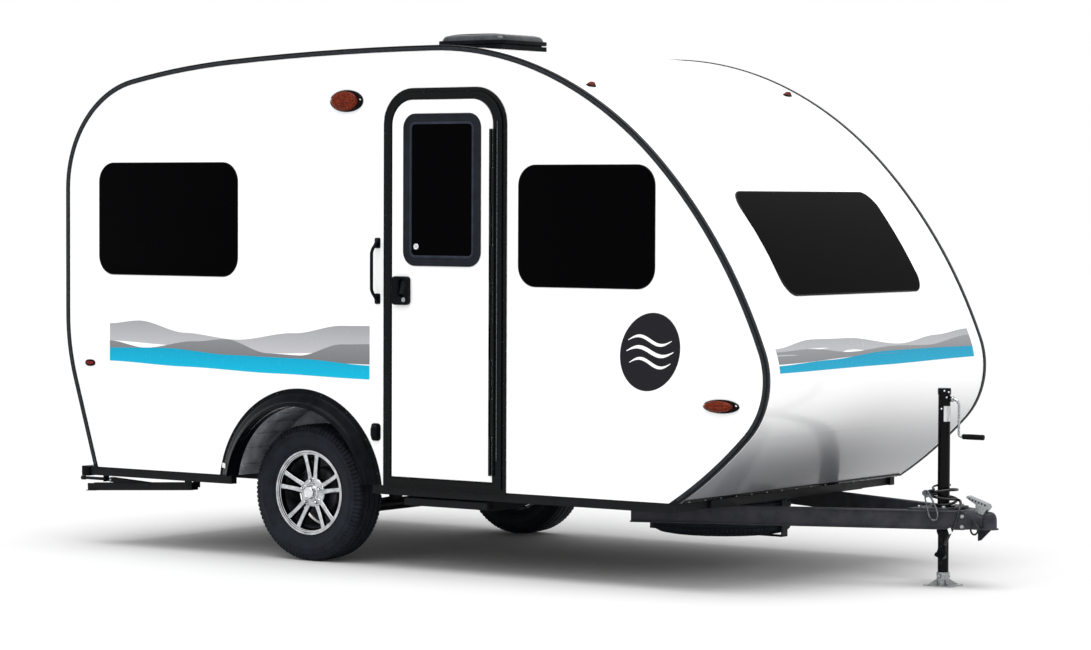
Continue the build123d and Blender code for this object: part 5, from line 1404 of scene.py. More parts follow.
class TRAILER_OT_handle(bpy.types.Operator):
    """Fits the grab handle on its two pads, and the catch of the cable hatch"""

    bl_idname = "trailer.handle"
    bl_label = "Grab handle and hatch"

    def execute(self, context):
        low, high = cad("grab_handle")
        x, middle = (low[0] + high[0]) / 2, (low[2] + high[2]) / 2
        half = (high[2] - low[2]) / 2
        reach = -low[1] - wall_face
        pads, screws = [], []
        for side in (-1, 1):
            z = middle + side * (half - 0.026)
            pads.append(
                facing_out(plate(outline_rounded(0.031, 0.05, 0.008, 5), 0.008, 0.003, 3), on_wall(x, z))
            )
            screws += [facing_out(screw_head(0.0035), on_wall(x, z + side * 0.0175, 0.0075))]
        points = []
        for z, out, back in (
            (0.015, 0.004, 0), (0.023, 0.012, 0), (0.039, 0.024, 0.0008), (0.053, 0.037, 0.0015),
            (0.07, reach - 0.01, 0.002), (0.09, reach - 0.0086, 0.002),
        ):
            points.append(on_wall(x - back, middle - half + z, out))
        points += [p * (1, 1, 0) + (0, 0, 2 * middle - p[2]) for p in points[::-1]]
        path = smooth_path(points, 6)
        oval = outline_circle(0.0085, 20, 0.86)
        grip = swept(path, oval, up=(0, -1, 0))
        piece("grab_handle_bar", joined(grip, *pads), black_abs(), 45, replaces="grab_handle")
        piece("grab_handle_screws", joined(*screws), black_screws())
        low, high = cad("cable_hatch")
        centre = ((low[0] + high[0]) / 2, (low[2] + high[2]) / 2)
        flange = plate(outline_rounded(high[0] - low[0], high[2] - low[2], 0.017, 6), 0.005, 0.0018)
        hood_rings = []
        for lift, share in ((0.004, 1.0), (0.012, 0.97), (0.019, 0.88), (0.0235, 0.72), (0.0258, 0.45)):
            ring = outline_rounded(
                (high[0] - low[0] - 0.012) * share, (high[2] - low[2] - 0.014) * share, 0.02 * share, 6
            )
            hood_rings.append(flat_ring(ring + (0, 0.006 * (1 - share)), lift))
        hood = rings_shape(hood_rings)
        tab = placed(
            rounded_box((0.018, 0.005, 0.007), 0.0015), (0, -(high[2] - low[2]) / 2 + 0.006, 0.0085)
        )
        hinge = placed(
            rod([(-0.018, 0, 0), (0.018, 0, 0)], 0.0032, 12), (0, (high[2] - low[2]) / 2 - 0.006, 0.006)
        )
        piece(
            "cable_hatch_hood", facing_out(joined(flange, hood, tab, hinge), on_wall(*centre)),
            black_abs(), replaces="cable_hatch",
        )
        return {"FINISHED"}


# ---------------- lamps
def lamp_shapes(width, height, depth, shape=2.3, offset=0.0):
    """Base and lens dome of an oval lamp lying in the x-y plane, facing +z.

    An offset narrows the lens and slides it towards -x, which leaves a black crescent at +x.
    """
    turn = np.linspace(0, 2 * pi, 56, endpoint=False)
    power = lambda v: np.sign(v) * np.abs(v) ** (2 / shape)
    oval = np.stack([power(np.cos(turn)), power(np.sin(turn))], 1)
    sized = lambda grow: oval * (width / 2 + grow, height / 2 + grow)
    rim = 0.005 if offset else 0.008
    base = rings_shape([
        flat_ring(sized(0), 0), flat_ring(sized(0), depth * 0.28), flat_ring(sized(-0.0015), depth * 0.4),
        flat_ring(sized(-rim * 0.6), depth * 0.5), flat_ring(sized(-rim), depth * 0.46),
        flat_ring(sized(-rim - 0.001), depth * 0.3),
    ])
    inner = oval * (width / 2 - max(rim, width * 0.045) - offset, height / 2 - rim)
    rings = []
    for k in range(8):
        lift = sin(pi / 2 * k / 7)
        share = cos(pi / 2 * k / 7 * 0.93)
        ring = inner * (0.62 + 0.38 * share, 0.35 + 0.65 * share) - (offset, 0)
        rings.append(flat_ring(ring, depth * (0.4 + 0.58 * lift)))
    lens_dome = rings_shape([flat_ring(inner - (offset, 0), depth * 0.2)] + rings)
    return base, lens_dome


class TRAILER_OT_lamps(bpy.types.Operator):
    """Makes the marker, clearance and tail lamps with bezels and moulded lenses"""

    bl_idname = "trailer.lamps"
    bl_label = "Lamps"

    def execute(self, context):
        bases, ambers, reds, bright = [], [], [], []
        for test in (
            lambda p: p[1] < -1.0 and p[0] < 0, lambda p: p[1] < -1.0 and p[0] > 1.0 and p[2] < 1.5,
        ):
            low, high = part_box("amber_lamps", test)
            width, height = high[0] - low[0], high[2] - low[2]
            depth, offset = high[1] - low[1], 0.0105
            base, dome = lamp_shapes(width, height, depth, 2.0, offset)
            at = wall_middle(low, high)
            bases.append(facing_out(base, at))
            ribs = [
                placed(rounded_box((0.0016, height * 0.62 * sqrt(1 - (2 * t) ** 2), 0.0016), 0.0005),
                       (width * 0.66 * t - offset, 0, depth * (0.95 - 0.9 * abs(t) ** 2)))
                for t in np.linspace(-0.42, 0.42, 9)
            ] + [
                placed(rounded_box((width * 0.56 * sqrt(1 - (2 * t) ** 2), 0.0014, 0.0014), 0.0005),
                       (-offset, height * 0.66 * t, depth * (0.97 - 0.75 * abs(t) ** 1.6)))
                for t in (-0.3, -0.1, 0.1, 0.3)
            ]
            ambers.append(facing_out(joined(dome, *ribs), at))
            clip = placed(
                rounded_box((0.009, height * 0.22, 0.004), 0.0016), (-width / 2 + 0.011, 0.004, depth * 0.5),
                (1, 0.35, 0)
            )
            glint = placed(
                rounded_box((0.011, 0.006, 0.003), 0.0014), (width / 2 - 0.0105, 0.006, depth * 0.5),
                (1, -0.45, 0)
            )
            bright.append(facing_out(joined(clip, glint), at))
        low, high = part_box("red_lamps", lambda p: p[1] < -1.0)
        base, dome = lamp_shapes(high[0] - low[0], high[2] - low[2], high[1] - low[1], 2.2)
        at = wall_middle(low, high)
        bases.append(facing_out(base, at))
        reds.append(facing_out(dome, at))

        low, high = part_box("red_lamps", lambda p: -1.0 < p[1] < 0)
        tail_skin = -2.4065
        at = np.array([tail_skin, (low[1] + high[1]) / 2, (low[2] + high[2]) / 2])
        depth = tail_skin - low[0]
        base, dome = lamp_shapes(high[1] - low[1], high[2] - low[2], depth, 3.2)
        rear = {"x": (0, -1, 0), "z": (-1, 0, 0)}
        bases.append(placed(base, at, **rear))
        reds.append(placed(dome, at, **rear))

        low, high = part_box("amber_lamps", lambda p: -1.0 < p[1] < 0)
        middle = (low + high) / 2
        skin, out = on_front(middle[2] - 0.004, middle[1])
        base, _ = lamp_shapes(0.026, 0.064, 0.016, 3.5)
        wedge = rounded_stack([(z, wide, length, wide * 0.3) for z, length, wide in (
            (0.004, 0.054, 0.019), (0.012, 0.046, 0.017), (0.019, 0.03, 0.011), (0.0205, 0.022, 0.006),
        )], 4)
        bases.append(placed(base, skin, (out[2], 0, -out[0]), out))
        ambers.append(placed(wedge, skin, (out[2], 0, -out[0]), out))

        piece("lamp_bases", both_sides(*bases), black_abs())
        piece(
            "lamp_amber_lenses", both_sides(*ambers),
            amber_acrylic(), 50, replaces="amber_lamps",
        )
        piece("lamp_red_lenses", both_sides(*reds), red_acrylic(), 50, replaces="red_lamps")
        piece("lamp_clips", both_sides(*bright), chrome_plate(), 40)
        return {"FINISHED"}


# ---------------- arches
class TRAILER_OT_arches(bpy.types.Operator):
    """Moulds the wheel arch flares with their flange, step, ridge and lip, and their screws"""

    bl_idname = "trailer.arches"
    bl_label = "Wheel arch flares"

    def execute(self, context):
        low, high = cad("fender_flares")
        tyre_low, tyre_high = cad("right_tyre")
        centre = np.array([(low[0] + high[0]) / 2, 0, (tyre_low[2] + tyre_high[2]) / 2])
        radius = high[2] - centre[2]
        foot = low[2] - centre[2]
        reach = high[1] - wall_face
        section = [
            (0, 0), (-0.0004, 0.003), (-0.0022, 0.0046), (-0.008, 0.0052), (-0.02, 0.0062),
            (-0.0225, 0.0075), (-0.024, 0.012), (-0.0262, 0.0145), (-0.04, 0.0215), (-0.054, 0.03),
            (-0.062, 0.0352), (-0.0648, 0.0388), (-0.0665, 0.044), (-0.069, 0.047), (-0.076, 0.0505),
            (-0.0815, reach - 0.0016), (-0.0838, reach), (-0.0856, reach - 0.0012), (-0.0862, reach - 0.005),
            (-0.085, 0.04), (-0.0838, 0.02), (-0.083, 0.005), (-0.083, 0), (-0.07, 0),
        ]
        sleeve = ((0.4251, 0.006), (0.4251, -0.0345), (0.4238, -0.0352), (0.4238, 0.006))
        flare = joined(
            self.moulding([(radius + inwards, out) for inwards, out in section], centre, foot),
            self.moulding(sleeve, centre, foot),
        )
        piece("arch_flares", both_sides(flare), black_abs(), 40, replaces="fender_flares")
        screws = []
        for degrees in (14, 34, 54, 74, 106, 126, 146, 166):
            turn = radians(degrees)
            r = radius - 0.0115
            at = on_wall(centre[0] + r * cos(turn), centre[2] + r * sin(turn), 0.005)
            screws.append(facing_out(screw_head(0.0045), at))
        piece("arch_screws", both_sides(*screws), black_screws(), 40)
        label = placed(
            rounded_box((0.024, 0.04, 0.0007), 0.0002),
            on_wall(centre[0] - radius + 0.046, low[2] + 0.048, 0.0226), (0.08, 0, 1), (-0.46, -0.89, 0),
        )
        piece("arch_label", label, white_plastic())
        ribs = []
        low, high = cad("wheel_wells")
        well = high[2] - centre[2] - 0.0055
        for degrees in np.linspace(16, 164, 13):
            turn = radians(degrees)
            inner = [
                (centre[0] + well * cos(turn), y, centre[2] + well * sin(turn)) for y in (-0.735, -0.965)
            ]
            ribs.append(rod(inner, 0.005, 10))
        piece("well_ribs", both_sides(*ribs), grey_liner(), 50)
        return {"FINISHED"}

    def moulding(self, section, centre, foot):
        """A section of (radius, out) carried over the arch, each line of it down to the foot."""
        rings = []
        for share in np.linspace(0, 1, 120):
            ring = []
            for radius, out in section:
                start = asin(foot / radius)
                turn = start + (pi - 2 * start) * share
                ring.append(
                    (centre[0] + radius * cos(turn), -(wall_face + out), centre[2] + radius * sin(turn))
                )
            rings.append(ring)
        return rings_shape(rings)


# ---------------- edge trims and skirt
class TRAILER_OT_trims(bpy.types.Operator):
    """Runs the vinyl insert along the edge trims, and the screwed strips under the nose and tail"""

    bl_idname = "trailer.trims"
    bl_label = "Edge trims"

    def execute(self, context):
        corner = 0.0115
        turns = np.linspace(0, 2 * pi, 12, endpoint=False)
        path, rings = [], []
        for distance in np.linspace(0.01, shell_length - 0.01, 300):
            place, out, _ = on_shell(distance)
            spot = place - out * corner
            path.append((spot[0], -(wall_face + 0.0028), spot[1]))
            ring = []
            for turn in turns:
                spot = place + out * (0.0028 + 0.0019 * sin(turn))
                ring.append((spot[0], -(wall_face - corner + 0.0068 * cos(turn)), spot[1]))
            rings.append(ring)
        side_oval = [(0.007 * cos(turn), 0.0021 * sin(turn)) for turn in turns]
        side_insert = swept(path, side_oval, up=(0, -1, 0))
        piece("trim_inserts", both_sides(side_insert, rings_shape(rings)), slate_vinyl(), 60)
        beads, screws = [], []
        strip = (
            (0.004, 0), (0.004, 0.004), (0.0055, 0.0052), (0.024, 0.0052), (0.026, 0.004), (0.026, 0),
        )
        for sign, foot in ((1, 0), (-1, shell_length)):
            spots = []
            for up, raised in strip:
                place, out, _ = on_shell(foot + sign * up)
                spots.append(place + out * raised)
            beads.append(self.across(spots, 0.97))
            place, out, _ = on_shell(foot + sign * 0.015)
            spot = place + out * 0.005
            for y in np.linspace(-0.93, 0.93, 15):
                screws.append(
                    placed(screw_head(0.0042), (spot[0], y, spot[1]), (0, 1, 0), (out[0], 0, out[1]))
                )
        piece("skirt_strips", joined(*beads), black_trim_metal(), 40)
        piece("skirt_screws", joined(*screws), zinc_plate(), 40)
        seams = []
        for seam in ("front", "rear"):
            x = cad("roof_panel")[1 if seam == "front" else 0][0]
            top = int(np.argmin(np.abs(outline[:, 0] - x) + (outline[:, 1] < 2.0) * 9))
            place, out, along = on_shell(shell_steps[top])
            spots = [
                place + along * 0.014 * cos(a) + out * (0.0022 * sin(a)) for a in np.linspace(0, pi, 9)
            ]
            seams.append(self.across(spots, 0.972))
        piece("roof_seam_sealant", joined(*seams), sealant(), 60)
        return {"FINISHED"}

    def across(self, spots, half):
        """A section of (x, z) carried from one side of the body to the other."""
        return rings_shape([[(x, y, z) for x, z in spots] for y in np.linspace(-half, half, 41)])


# ---------------- tongue and jack
def bolt_at(place, direction, across=0.019, height=0.0085):
    """A hexagonal head on its washer, facing a direction."""
    shape = joined(
        turned(
            [(0, 0), (across * 0.72, 0), (across * 0.72, 0.0018), (across * 0.6, 0.0022), (0, 0.0022)], 28
        ),
        placed(hex_head(across, height), (0, 0, 0.0021)),
    )
    side = (0, 1, 0) if abs(direction[1]) < 0.9 else (1, 0, 0)
    return placed(shape, place, side, direction)


class TRAILER_OT_tongue(bpy.types.Operator):
    """Bolts the tongue and coupler, moulds the coupler's body, and puts dark discs on the latch lever,
    painted shade in its holes
    """

    bl_idname = "trailer.tongue"
    bl_label = "Tongue and coupler"

    def execute(self, context):
        plate_top = cad("jack_plate")[1][2]
        bolts = []
        for x, y in ((2.068, -0.118), (2.068, 0.118), (2.178, -0.088), (2.178, 0.088)):
            bolts.append(bolt_at((x, y, plate_top - 0.0002), (0, 0, 1), 0.017, 0.0075))
        for x, z in ((2.265, 0.331), (2.265, 0.283)):
            y = -0.07
            bolts.append(bolt_at((x, y, z), (0.387, -0.922, 0), 0.019, 0.0085))
        bolts += [(shape[0] * (1, -1, 1), [f[::-1] for f in shape[1]]) for shape in bolts[-2:]]
        piece("tongue_bolts", joined(*bolts), zinc_plate())
        low, high = cad("coupler_latch")
        # Dark discs on the lever stand for its holes: painted shade inside each hole.
        holes = []
        for k in range(6):
            hole = turned(
                [(0, 0.0002), (0.0036, 0.0002), (0.004, 0.0009), (0.0048, 0.0006), (0.0052, -0.0006)], 24
            )
            at = (low[0] + 0.02 + 0.016 * k, low[1] + 0.0001, high[2] - 0.0135 - 0.0049 * k)
            holes.append(placed(hole, at, (1, 0, 0), (0, -1, 0)))
        piece("latch_lever_painted_hole_shade", both_sides(*holes), dark_cast_and_hole_shade(), 40)
        self.coupler()
        return {"FINISHED"}

    def coupler(self):
        """The pressed coupler: side skirts narrowing to a round ball socket over a flat flange."""
        low, high = cad("coupler")
        ball_x = high[0] - 0.044
        floor = low[2] + 0.0325
        rings = []
        for x, half, top, corner in (
            (low[0], 0.0858, high[2] - 0.001, 0.01), (low[0] + 0.02, 0.079, high[2] - 0.001, 0.01),
            (low[0] + 0.045, 0.064, high[2] - 0.004, 0.014), (low[0] + 0.065, 0.048, high[2] - 0.013, 0.017),
            (low[0] + 0.08, 0.038, high[2] - 0.018, 0.019), (ball_x - 0.03, 0.033, high[2] - 0.02, 0.02),
            (ball_x - 0.012, 0.031, high[2] - 0.0215, 0.022),
        ):
            ring = []
            for y, z in (
                (half, floor), (half, top - corner), (half - corner * 0.3, top - corner * 0.3),
                (half - corner, top),
                (0, top + 0.0006), (corner - half, top), (corner * 0.3 - half, top - corner * 0.3),
                (-half, top - corner), (-half, floor),
                (0, floor),
            ):
                ring.append((x, y, z))
            rings.append(ring)
        body = rings_shape(rings)
        dome = placed(turned([
            (0.044, 0), (0.044, 0.0045), (0.0425, 0.006), (0.0372, 0.0068), (0.036, 0.009), (0.036, 0.04),
            (0.0346, 0.054), (0.0306, 0.066), (0.024, 0.0745), (0.013, 0.08), (0, 0.0815),
        ], 64), (ball_x, 0, floor))
        flange = placed(
            prism(outline_rounded(ball_x - low[0], 0.098, 0.01, 4), 0.0048),
            ((ball_x + low[0]) / 2, 0, floor),
        )
        gussets = []
        for side in (-1, 1):
            web = np.array([(-0.04, 0), (0.052, 0), (0.052, 0.012), (-0.02, 0.062), (-0.04, 0.066)])
            gusset = prism(web, 0.005)
            gussets.append(
                placed(
                    gusset, (low[0] + 0.062, side * 0.052, floor + 0.003), (0.9, -side * 0.42, 0),
                    (side * 0.42, side * 0.9, 0)
                )
            )
        eye = [
            (low[0] + 0.044 + 0.018 * cos(t), 0, low[2] + 0.026 - 0.0212 * sin(t))
            for t in np.linspace(-0.5, pi + 0.5, 26)
        ]
        shape = joined(body, dome, flange, *gussets, rod(eye, 0.0045, 14))
        piece("coupler_body", shape, powder_coat(), 40, replaces="coupler")


class TRAILER_OT_jack(bpy.types.Operator):
    """Details the jack: cap, rivets, plate, crank with its grip, collar pin and foot, and painted shade in
    the leg's holes
    """

    bl_idname = "trailer.jack"
    bl_label = "Jack"

    def execute(self, context):
        low, high = cad("jack_leg")
        x, top = (low[0] + high[0]) / 2, cad("jack_tube")[1][2]
        tube = 0.0285
        cap = turned([
            (tube - 0.002, top - 0.03), (tube + 0.0012, top - 0.03), (tube + 0.0022, top - 0.0285),
            (tube + 0.0022, top - 0.006), (tube + 0.001, top - 0.0022), (tube - 0.003, top - 0.0004),
            (tube - 0.01, top + 0.0002), (0, top + 0.0004),
        ], 64)
        ring = turned([
            (tube - 0.001, 0.243), (tube + 0.002, 0.2435), (tube + 0.0028, 0.246), (tube + 0.0028, 0.256),
            (tube + 0.002, 0.2585), (tube - 0.001, 0.259),
        ], 64)
        piece("jack_cap", placed(joined(cap, ring), (x, 0, 0)), gloss_black_paint())
        rivets = []
        for degrees, z in (
            (-62, top - 0.012), (-22, top - 0.018), (28, top - 0.012), (118, top - 0.012),
            (208, top - 0.012), (-40, top - 0.042), (-88, top - 0.095)
        ):
            turn = radians(degrees)
            out = np.array([cos(turn), sin(turn), 0])
            dome = turned(
                [(0.0046, -0.001), (0.0046, 0.0006), (0.0036, 0.0022), (0.0018, 0.003), (0, 0.0032)], 20
            )
            rivets.append(
                placed(
                    dome, np.array([x, 0, z]) + out * (tube + (0.0018 if z > top - 0.03 else 0.0)),
                    (0, 0, 1), out
                )
            )
        piece("jack_rivets", joined(*rivets), chrome_plate(), 50)
        rings = []
        plate_low, plate_high, plate_skin = 0.757, 0.828, tube + 0.0009
        for turn in np.radians(np.linspace(-66, 6, 22)):
            out = np.array([cos(turn), sin(turn), 0])
            ring = [np.array([x, 0, z]) + out * r for z, r in (
                (plate_low, tube), (plate_low, plate_skin), (plate_high, plate_skin), (plate_high, tube),
            )]
            rings.append(ring)
        piece("jack_plate_blank", rings_shape(rings), brushed_plate())
        return self.crank(x, tube)

    def crank(self, x, tube):
        low, high = cad("jack_crank")
        reach = x + 0.0765
        grip_z = low[2] + 0.013
        elbow_z = high[2] - 0.006
        path = [(x + tube + 0.006, 0, elbow_z), (x + 0.048, 0, elbow_z)]
        for a in np.linspace(80, 0, 9):
            path.append((reach - 0.03 + 0.03 * cos(radians(a)), 0, elbow_z - 0.03 + 0.03 * sin(radians(a))))
        for a in np.linspace(0, 90, 7):
            path.append(
                (reach + 0.012 - 0.012 * cos(radians(a)), 0, grip_z + 0.012 - 0.012 * sin(radians(a)))
            )
        path.append((high[0] - 0.004, 0, grip_z))
        bar = rod(path, 0.006, 20)
        boss = placed(turned([
            (0.0062, 0), (0.012, 0), (0.0125, 0.0015), (0.0125, 0.008), (0.0112, 0.01), (0.0062, 0.0104),
        ], 32), (x + tube + 0.0108, 0, elbow_z), (0, 0, 1), (1, 0, 0))
        pin = rod([(x + tube + 0.016, -0.0145, elbow_z), (x + tube + 0.016, 0.0145, elbow_z)], 0.0022, 10)
        piece("jack_crank_bar", joined(bar, boss, pin), zinc_bright(), 40, replaces="jack_crank")
        start = high[0] - 0.11
        grip_profile = [
            (0.0062, 0), (0.0098, 0), (0.012, 0.0015), (0.0127, 0.005), (0.0124, 0.012), (0.0118, 0.04),
            (0.0117, 0.06), (0.0122, 0.085), (0.0129, 0.1), (0.013, 0.1045), (0.0122, 0.1085),
            (0.0095, 0.11), (0, 0.11),
        ]
        grip = placed(turned(grip_profile, 40), (start, 0, grip_z), (0, 0, 1), (1, 0, 0))
        ribs = []
        for t in np.linspace(0, 2 * pi, 16, endpoint=False):
            ribs.append(rod([
                (start + s, 0.0119 * cos(t), grip_z + 0.0119 * sin(t)) for s in (0.012, 0.035, 0.065, 0.092)
            ], [0.0006, 0.001, 0.001, 0.0006], 6))
        piece("jack_grip", joined(grip, *ribs), gloss_black_paint(), 50)
        return self.foot(x)

    def foot(self, x):
        leg = 0.025
        collar_z = cad("jack_foot")[1][2]
        pin = joined(
            rod([(x, -0.0395, collar_z - 0.018), (x, 0.0395, collar_z - 0.018)], 0.0048, 16),
            placed(
                turned([(0, 0), (0.008, 0), (0.008, 0.003), (0.006, 0.005), (0, 0.005)], 24),
                (x, -0.0395, collar_z - 0.018), (1, 0, 0), (0, -1, 0)
            ),
            rod(
                [
                    (x, 0.0375, collar_z - 0.012), (x + 0.004, 0.0385, collar_z - 0.026),
                    (x + 0.012, 0.0385, collar_z - 0.03), (x + 0.016, 0.038, collar_z - 0.02)
                ], 0.0014, 8
            ),
        )
        piece("jack_foot_pin", pin, zinc_bright(), 40, body="jack_post")
        # Dark dimples on the leg stand for its holes: painted shade inside each hole.
        holes = []
        for z in np.arange(0.105, 0.215, 0.036):
            for side in (-1, 1):
                points, faces = turned(
                    [
                        (0.0062, -0.0001), (0.0068, 0.0002), (0.0058, 0.0003), (0.0052, -0.001), (0, -0.0012)
                    ], 24
                )
                bent = np.column_stack(
                    [points[:, 0], np.sqrt(leg ** 2 - points[:, 0] ** 2) + points[:, 2], points[:, 1]]
                )
                faces = faces if side > 0 else [face[::-1] for face in faces]
                holes.append((bent * (1, side, 1) + (x, 0, z), faces))
        piece("jack_leg_painted_hole_shade", joined(*holes), dark_cast_and_hole_shade(), 40, body="jack_post")
        return {"FINISHED"}


# ---------------- running gear and underside
class TRAILER_OT_underside(bpy.types.Operator):
    """Adds spring clips and caps under the body, and the step's tread"""

    bl_idname = "trailer.underside"
    bl_label = "Underside"

    def execute(self, context):
        axle_low, axle_high = cad("axle_beam")
        spring_low, spring_high = cad("leaf_springs")
        axle_x = (axle_low[0] + axle_high[0]) / 2
        spring_y = 0.66
        bands = []
        for side in (-1, 1):
            for x_share in (-0.55, 0.55):
                x = axle_x + x_share * (spring_high[0] - spring_low[0]) / 2
                bands.append(
                    placed(
                        rounded_box((0.018, 0.05, 0.026), 0.0025),
                        (x, side * spring_y, spring_low[2] + 0.025)
                    )
                )
        piece("spring_clips", joined(*bands), powder_coat_in_painted_shade(), 40)
        low, high = cad("rear_bumper")
        caps = []
        for side in (-1, 1):
            cap = placed(
                plate(outline_rounded(0.048, 0.048, 0.006, 4), 0.0022, 0.0015),
                ((low[0] + high[0]) / 2, side * high[1], (low[2] + high[2]) / 2), (1, 0, 0), (0, side, 0)
            )
            caps.append(cap)
        piece("bumper_caps", joined(*caps), black_abs(), 40)
        low, high = cad("entry_step")
        treads = []
        for x in np.linspace(low[0] + 0.045, high[0] - 0.045, 12):
            for y in np.linspace(low[1] + 0.04, high[1] - 0.04, 7):
                cleat = turned(
                    [
                        (0.015, -0.0008), (0.015, 0.0004), (0.0128, 0.0028), (0.0098, 0.003),
                        (0.009, 0.0012), (0, 0.001)
                    ], 20
                )
                treads.append(placed(cleat, (x, y, high[2] - 0.0004)))
        piece("step_tread", joined(*treads), dark_cast_and_hole_shade(), 40, body="step_tray")
        return {"FINISHED"}


# ---------------- roof vent
class TRAILER_OT_vent(bpy.types.Operator):
    """Fits the roof vent's ribbed lid, and the flange and notches of its base"""

    bl_idname = "trailer.vent"
    bl_label = "Roof vent"

    def execute(self, context):
        low, high = cad("vent_lid")
        centre = np.array([(low[0] + high[0]) / 2, 0, 0])
        length, width, _ = high - low
        foot, top = low[2], high[2]
        skirt = foot + 0.02
        stack = lambda levels: rounded_stack(
            [(z, length * share, width * share, corner) for share, z, corner in levels], 6
        )
        frame_shape = stack((
            (0.985, foot, 0.03), (1.0, foot + 0.0015, 0.03), (1.0, skirt - 0.002, 0.03), (0.99, skirt, 0.03),
            (0.95, skirt, 0.03), (0.945, skirt - 0.003, 0.03),
        ))
        piece(
            "vent_lid_frame", placed(frame_shape, centre),
            black_abs(), 40, body="roof_vent_cover",
        )
        shell_shape = stack((
            (0.945, skirt - 0.002, 0.03), (0.94, skirt + 0.004, 0.032), (0.93, foot + 0.033, 0.036),
            (0.9, top - 0.012, 0.04), (0.82, top - 0.0065, 0.044), (0.6, top - 0.0032, 0.046),
            (0.25, top - 0.0018, 0.03),
        ))
        ribs = []
        for y in np.linspace(-width * 0.36, width * 0.36, 7):
            path = [(
                -length * 0.455, y, foot + 0.034
            ), (-length * 0.41, y, top - 0.01), (-length * 0.28, y, top - 0.004),
                    (0, y, top - 0.0026), (length * 0.28, y, top - 0.004), (length * 0.41, y, top - 0.01),
                    (length * 0.455, y, foot + 0.034)]
            ribs.append(rod(smooth_path(path, 5), 0.0022, 8))
        piece(
            "vent_lid_shell", placed(joined(shell_shape, *ribs), centre),
            smoked_polycarbonate(), 45, body="roof_vent_cover", replaces="vent_lid",
        )
        low, high = cad("vent_base")
        pads = []
        for share in (-0.2, 0.06, 0.32):
            block = rounded_box((0.006, (high[1] - low[1]) * 0.15, 0.015), 0.0012)
            pads.append(placed(block, (high[0] - 0.0021, share * (high[1] - low[1]), low[2] + 0.0085)))
        piece("vent_base_pads", joined(*pads), white_plastic(), 40)
        return {"FINISHED"}


# ---------------- bands and discs
def ribbon(low_edge, high_edge, place):
    """A thin sheet between two height curves: each edge is a list of (along, height)."""
    points, faces = [], []
    for (a, low), (_, high) in zip(low_edge, high_edge):
        for share in (0, 0.5, 1.0):
            points.append(place(a, low + (high - low) * share))
    for k in range(len(low_edge) - 1):
        for j in (0, 1):
            a = 3 * k + j
            faces.append((a, a + 3, a + 4, a + 1))
    return np.array(points), faces


# Each ribbon's colour at the band's foot, at its top (None for the setting), and its layer.
RIBBONS = {
    "silver": ("#c9c8cb", "#98999d", 1),
    "slate": ("#636568", "#8d8e90", 2),
    "sea": ("#00add0", None, 3),
}
SIDE_BAND = {
    "silver": (
        ((0, 0.56), (0.3, 0.5), (0.6, 0.42), (1.0, 0.5)),
        ((0, 0.9), (0.12, 0.97), (0.3, 0.76), (0.5, 0.66), (0.72, 0.82), (0.9, 0.99), (1.0, 1.0)),
    ),
    "slate": (
        ((0, 0.4), (0.3, 0.35), (0.6, 0.3), (1.0, 0.28)),
        (
            (0, 0.56), (0.14, 0.44), (0.34, 0.6), (0.46, 0.66), (0.62, 0.42), (0.74, 0.4), (0.9, 0.64),
            (1.0, 0.66)
        ),
    ),
    "sea": (
        ((0, 0.16), (0.3, 0.1), (0.65, 0.04), (1.0, 0)),
        ((0, 0.42), (0.22, 0.45), (0.48, 0.36), (0.74, 0.34), (1.0, 0.26)),
    ),
}
NOSE_BAND = {
    "silver": (
        ((0, 0.5), (0.5, 0.46), (1.0, 0.58)),
        ((0, 0.72), (0.18, 0.94), (0.36, 0.92), (0.62, 0.66), (0.82, 0.86), (1.0, 1.0)),
    ),
    "slate": (
        ((0, 0.26), (0.5, 0.38), (1.0, 0.44)),
        ((0, 0.62), (0.16, 0.66), (0.36, 0.5), (0.58, 0.6), (0.76, 0.56), (1.0, 0.8)),
    ),
    "sea": (
        ((0, 0), (0.5, 0.04), (1.0, 0.1)),
        ((0, 0.22), (0.24, 0.3), (0.55, 0.46), (0.8, 0.46), (1.0, 0.44)),
    ),
}


def eased(stops, share):
    """A height between stops of (share, height), level at each stop."""
    for (a, low), (b, high) in zip(stops, stops[1:]):
        if share <= b:
            t = (share - a) / (b - a)
            return low + (high - low) * t * t * (3 - 2 * t)
    return stops[-1][1]


def band(shapes, length, bottom, top, place):
    """The ribbons of one band, silver at the back and blue along its foot."""
    made = {}
    for name, (foot, crest) in shapes.items():
        low_edge, high_edge = [], []
        for k in range(121):
            t = k / 120
            low_edge.append((t * length, bottom + (top - bottom) * eased(foot, t)))
            high_edge.append((t * length, bottom + (top - bottom) * eased(crest, t)))
        lift = 0.0003 * RIBBONS[name][2]
        made[name] = ribbon(low_edge, high_edge, lambda a, h: place(a, h, lift))
    return made


def turned_outwards(shape, out):
    """A sheet with its faces turned to look along the given direction."""
    points, faces = shape
    a, b, c = (points[i] for i in faces[0][:3])
    flip = np.dot(np.cross(b - a, c - a), out) < 0
    return points, [face[::-1] for face in faces] if flip else faces


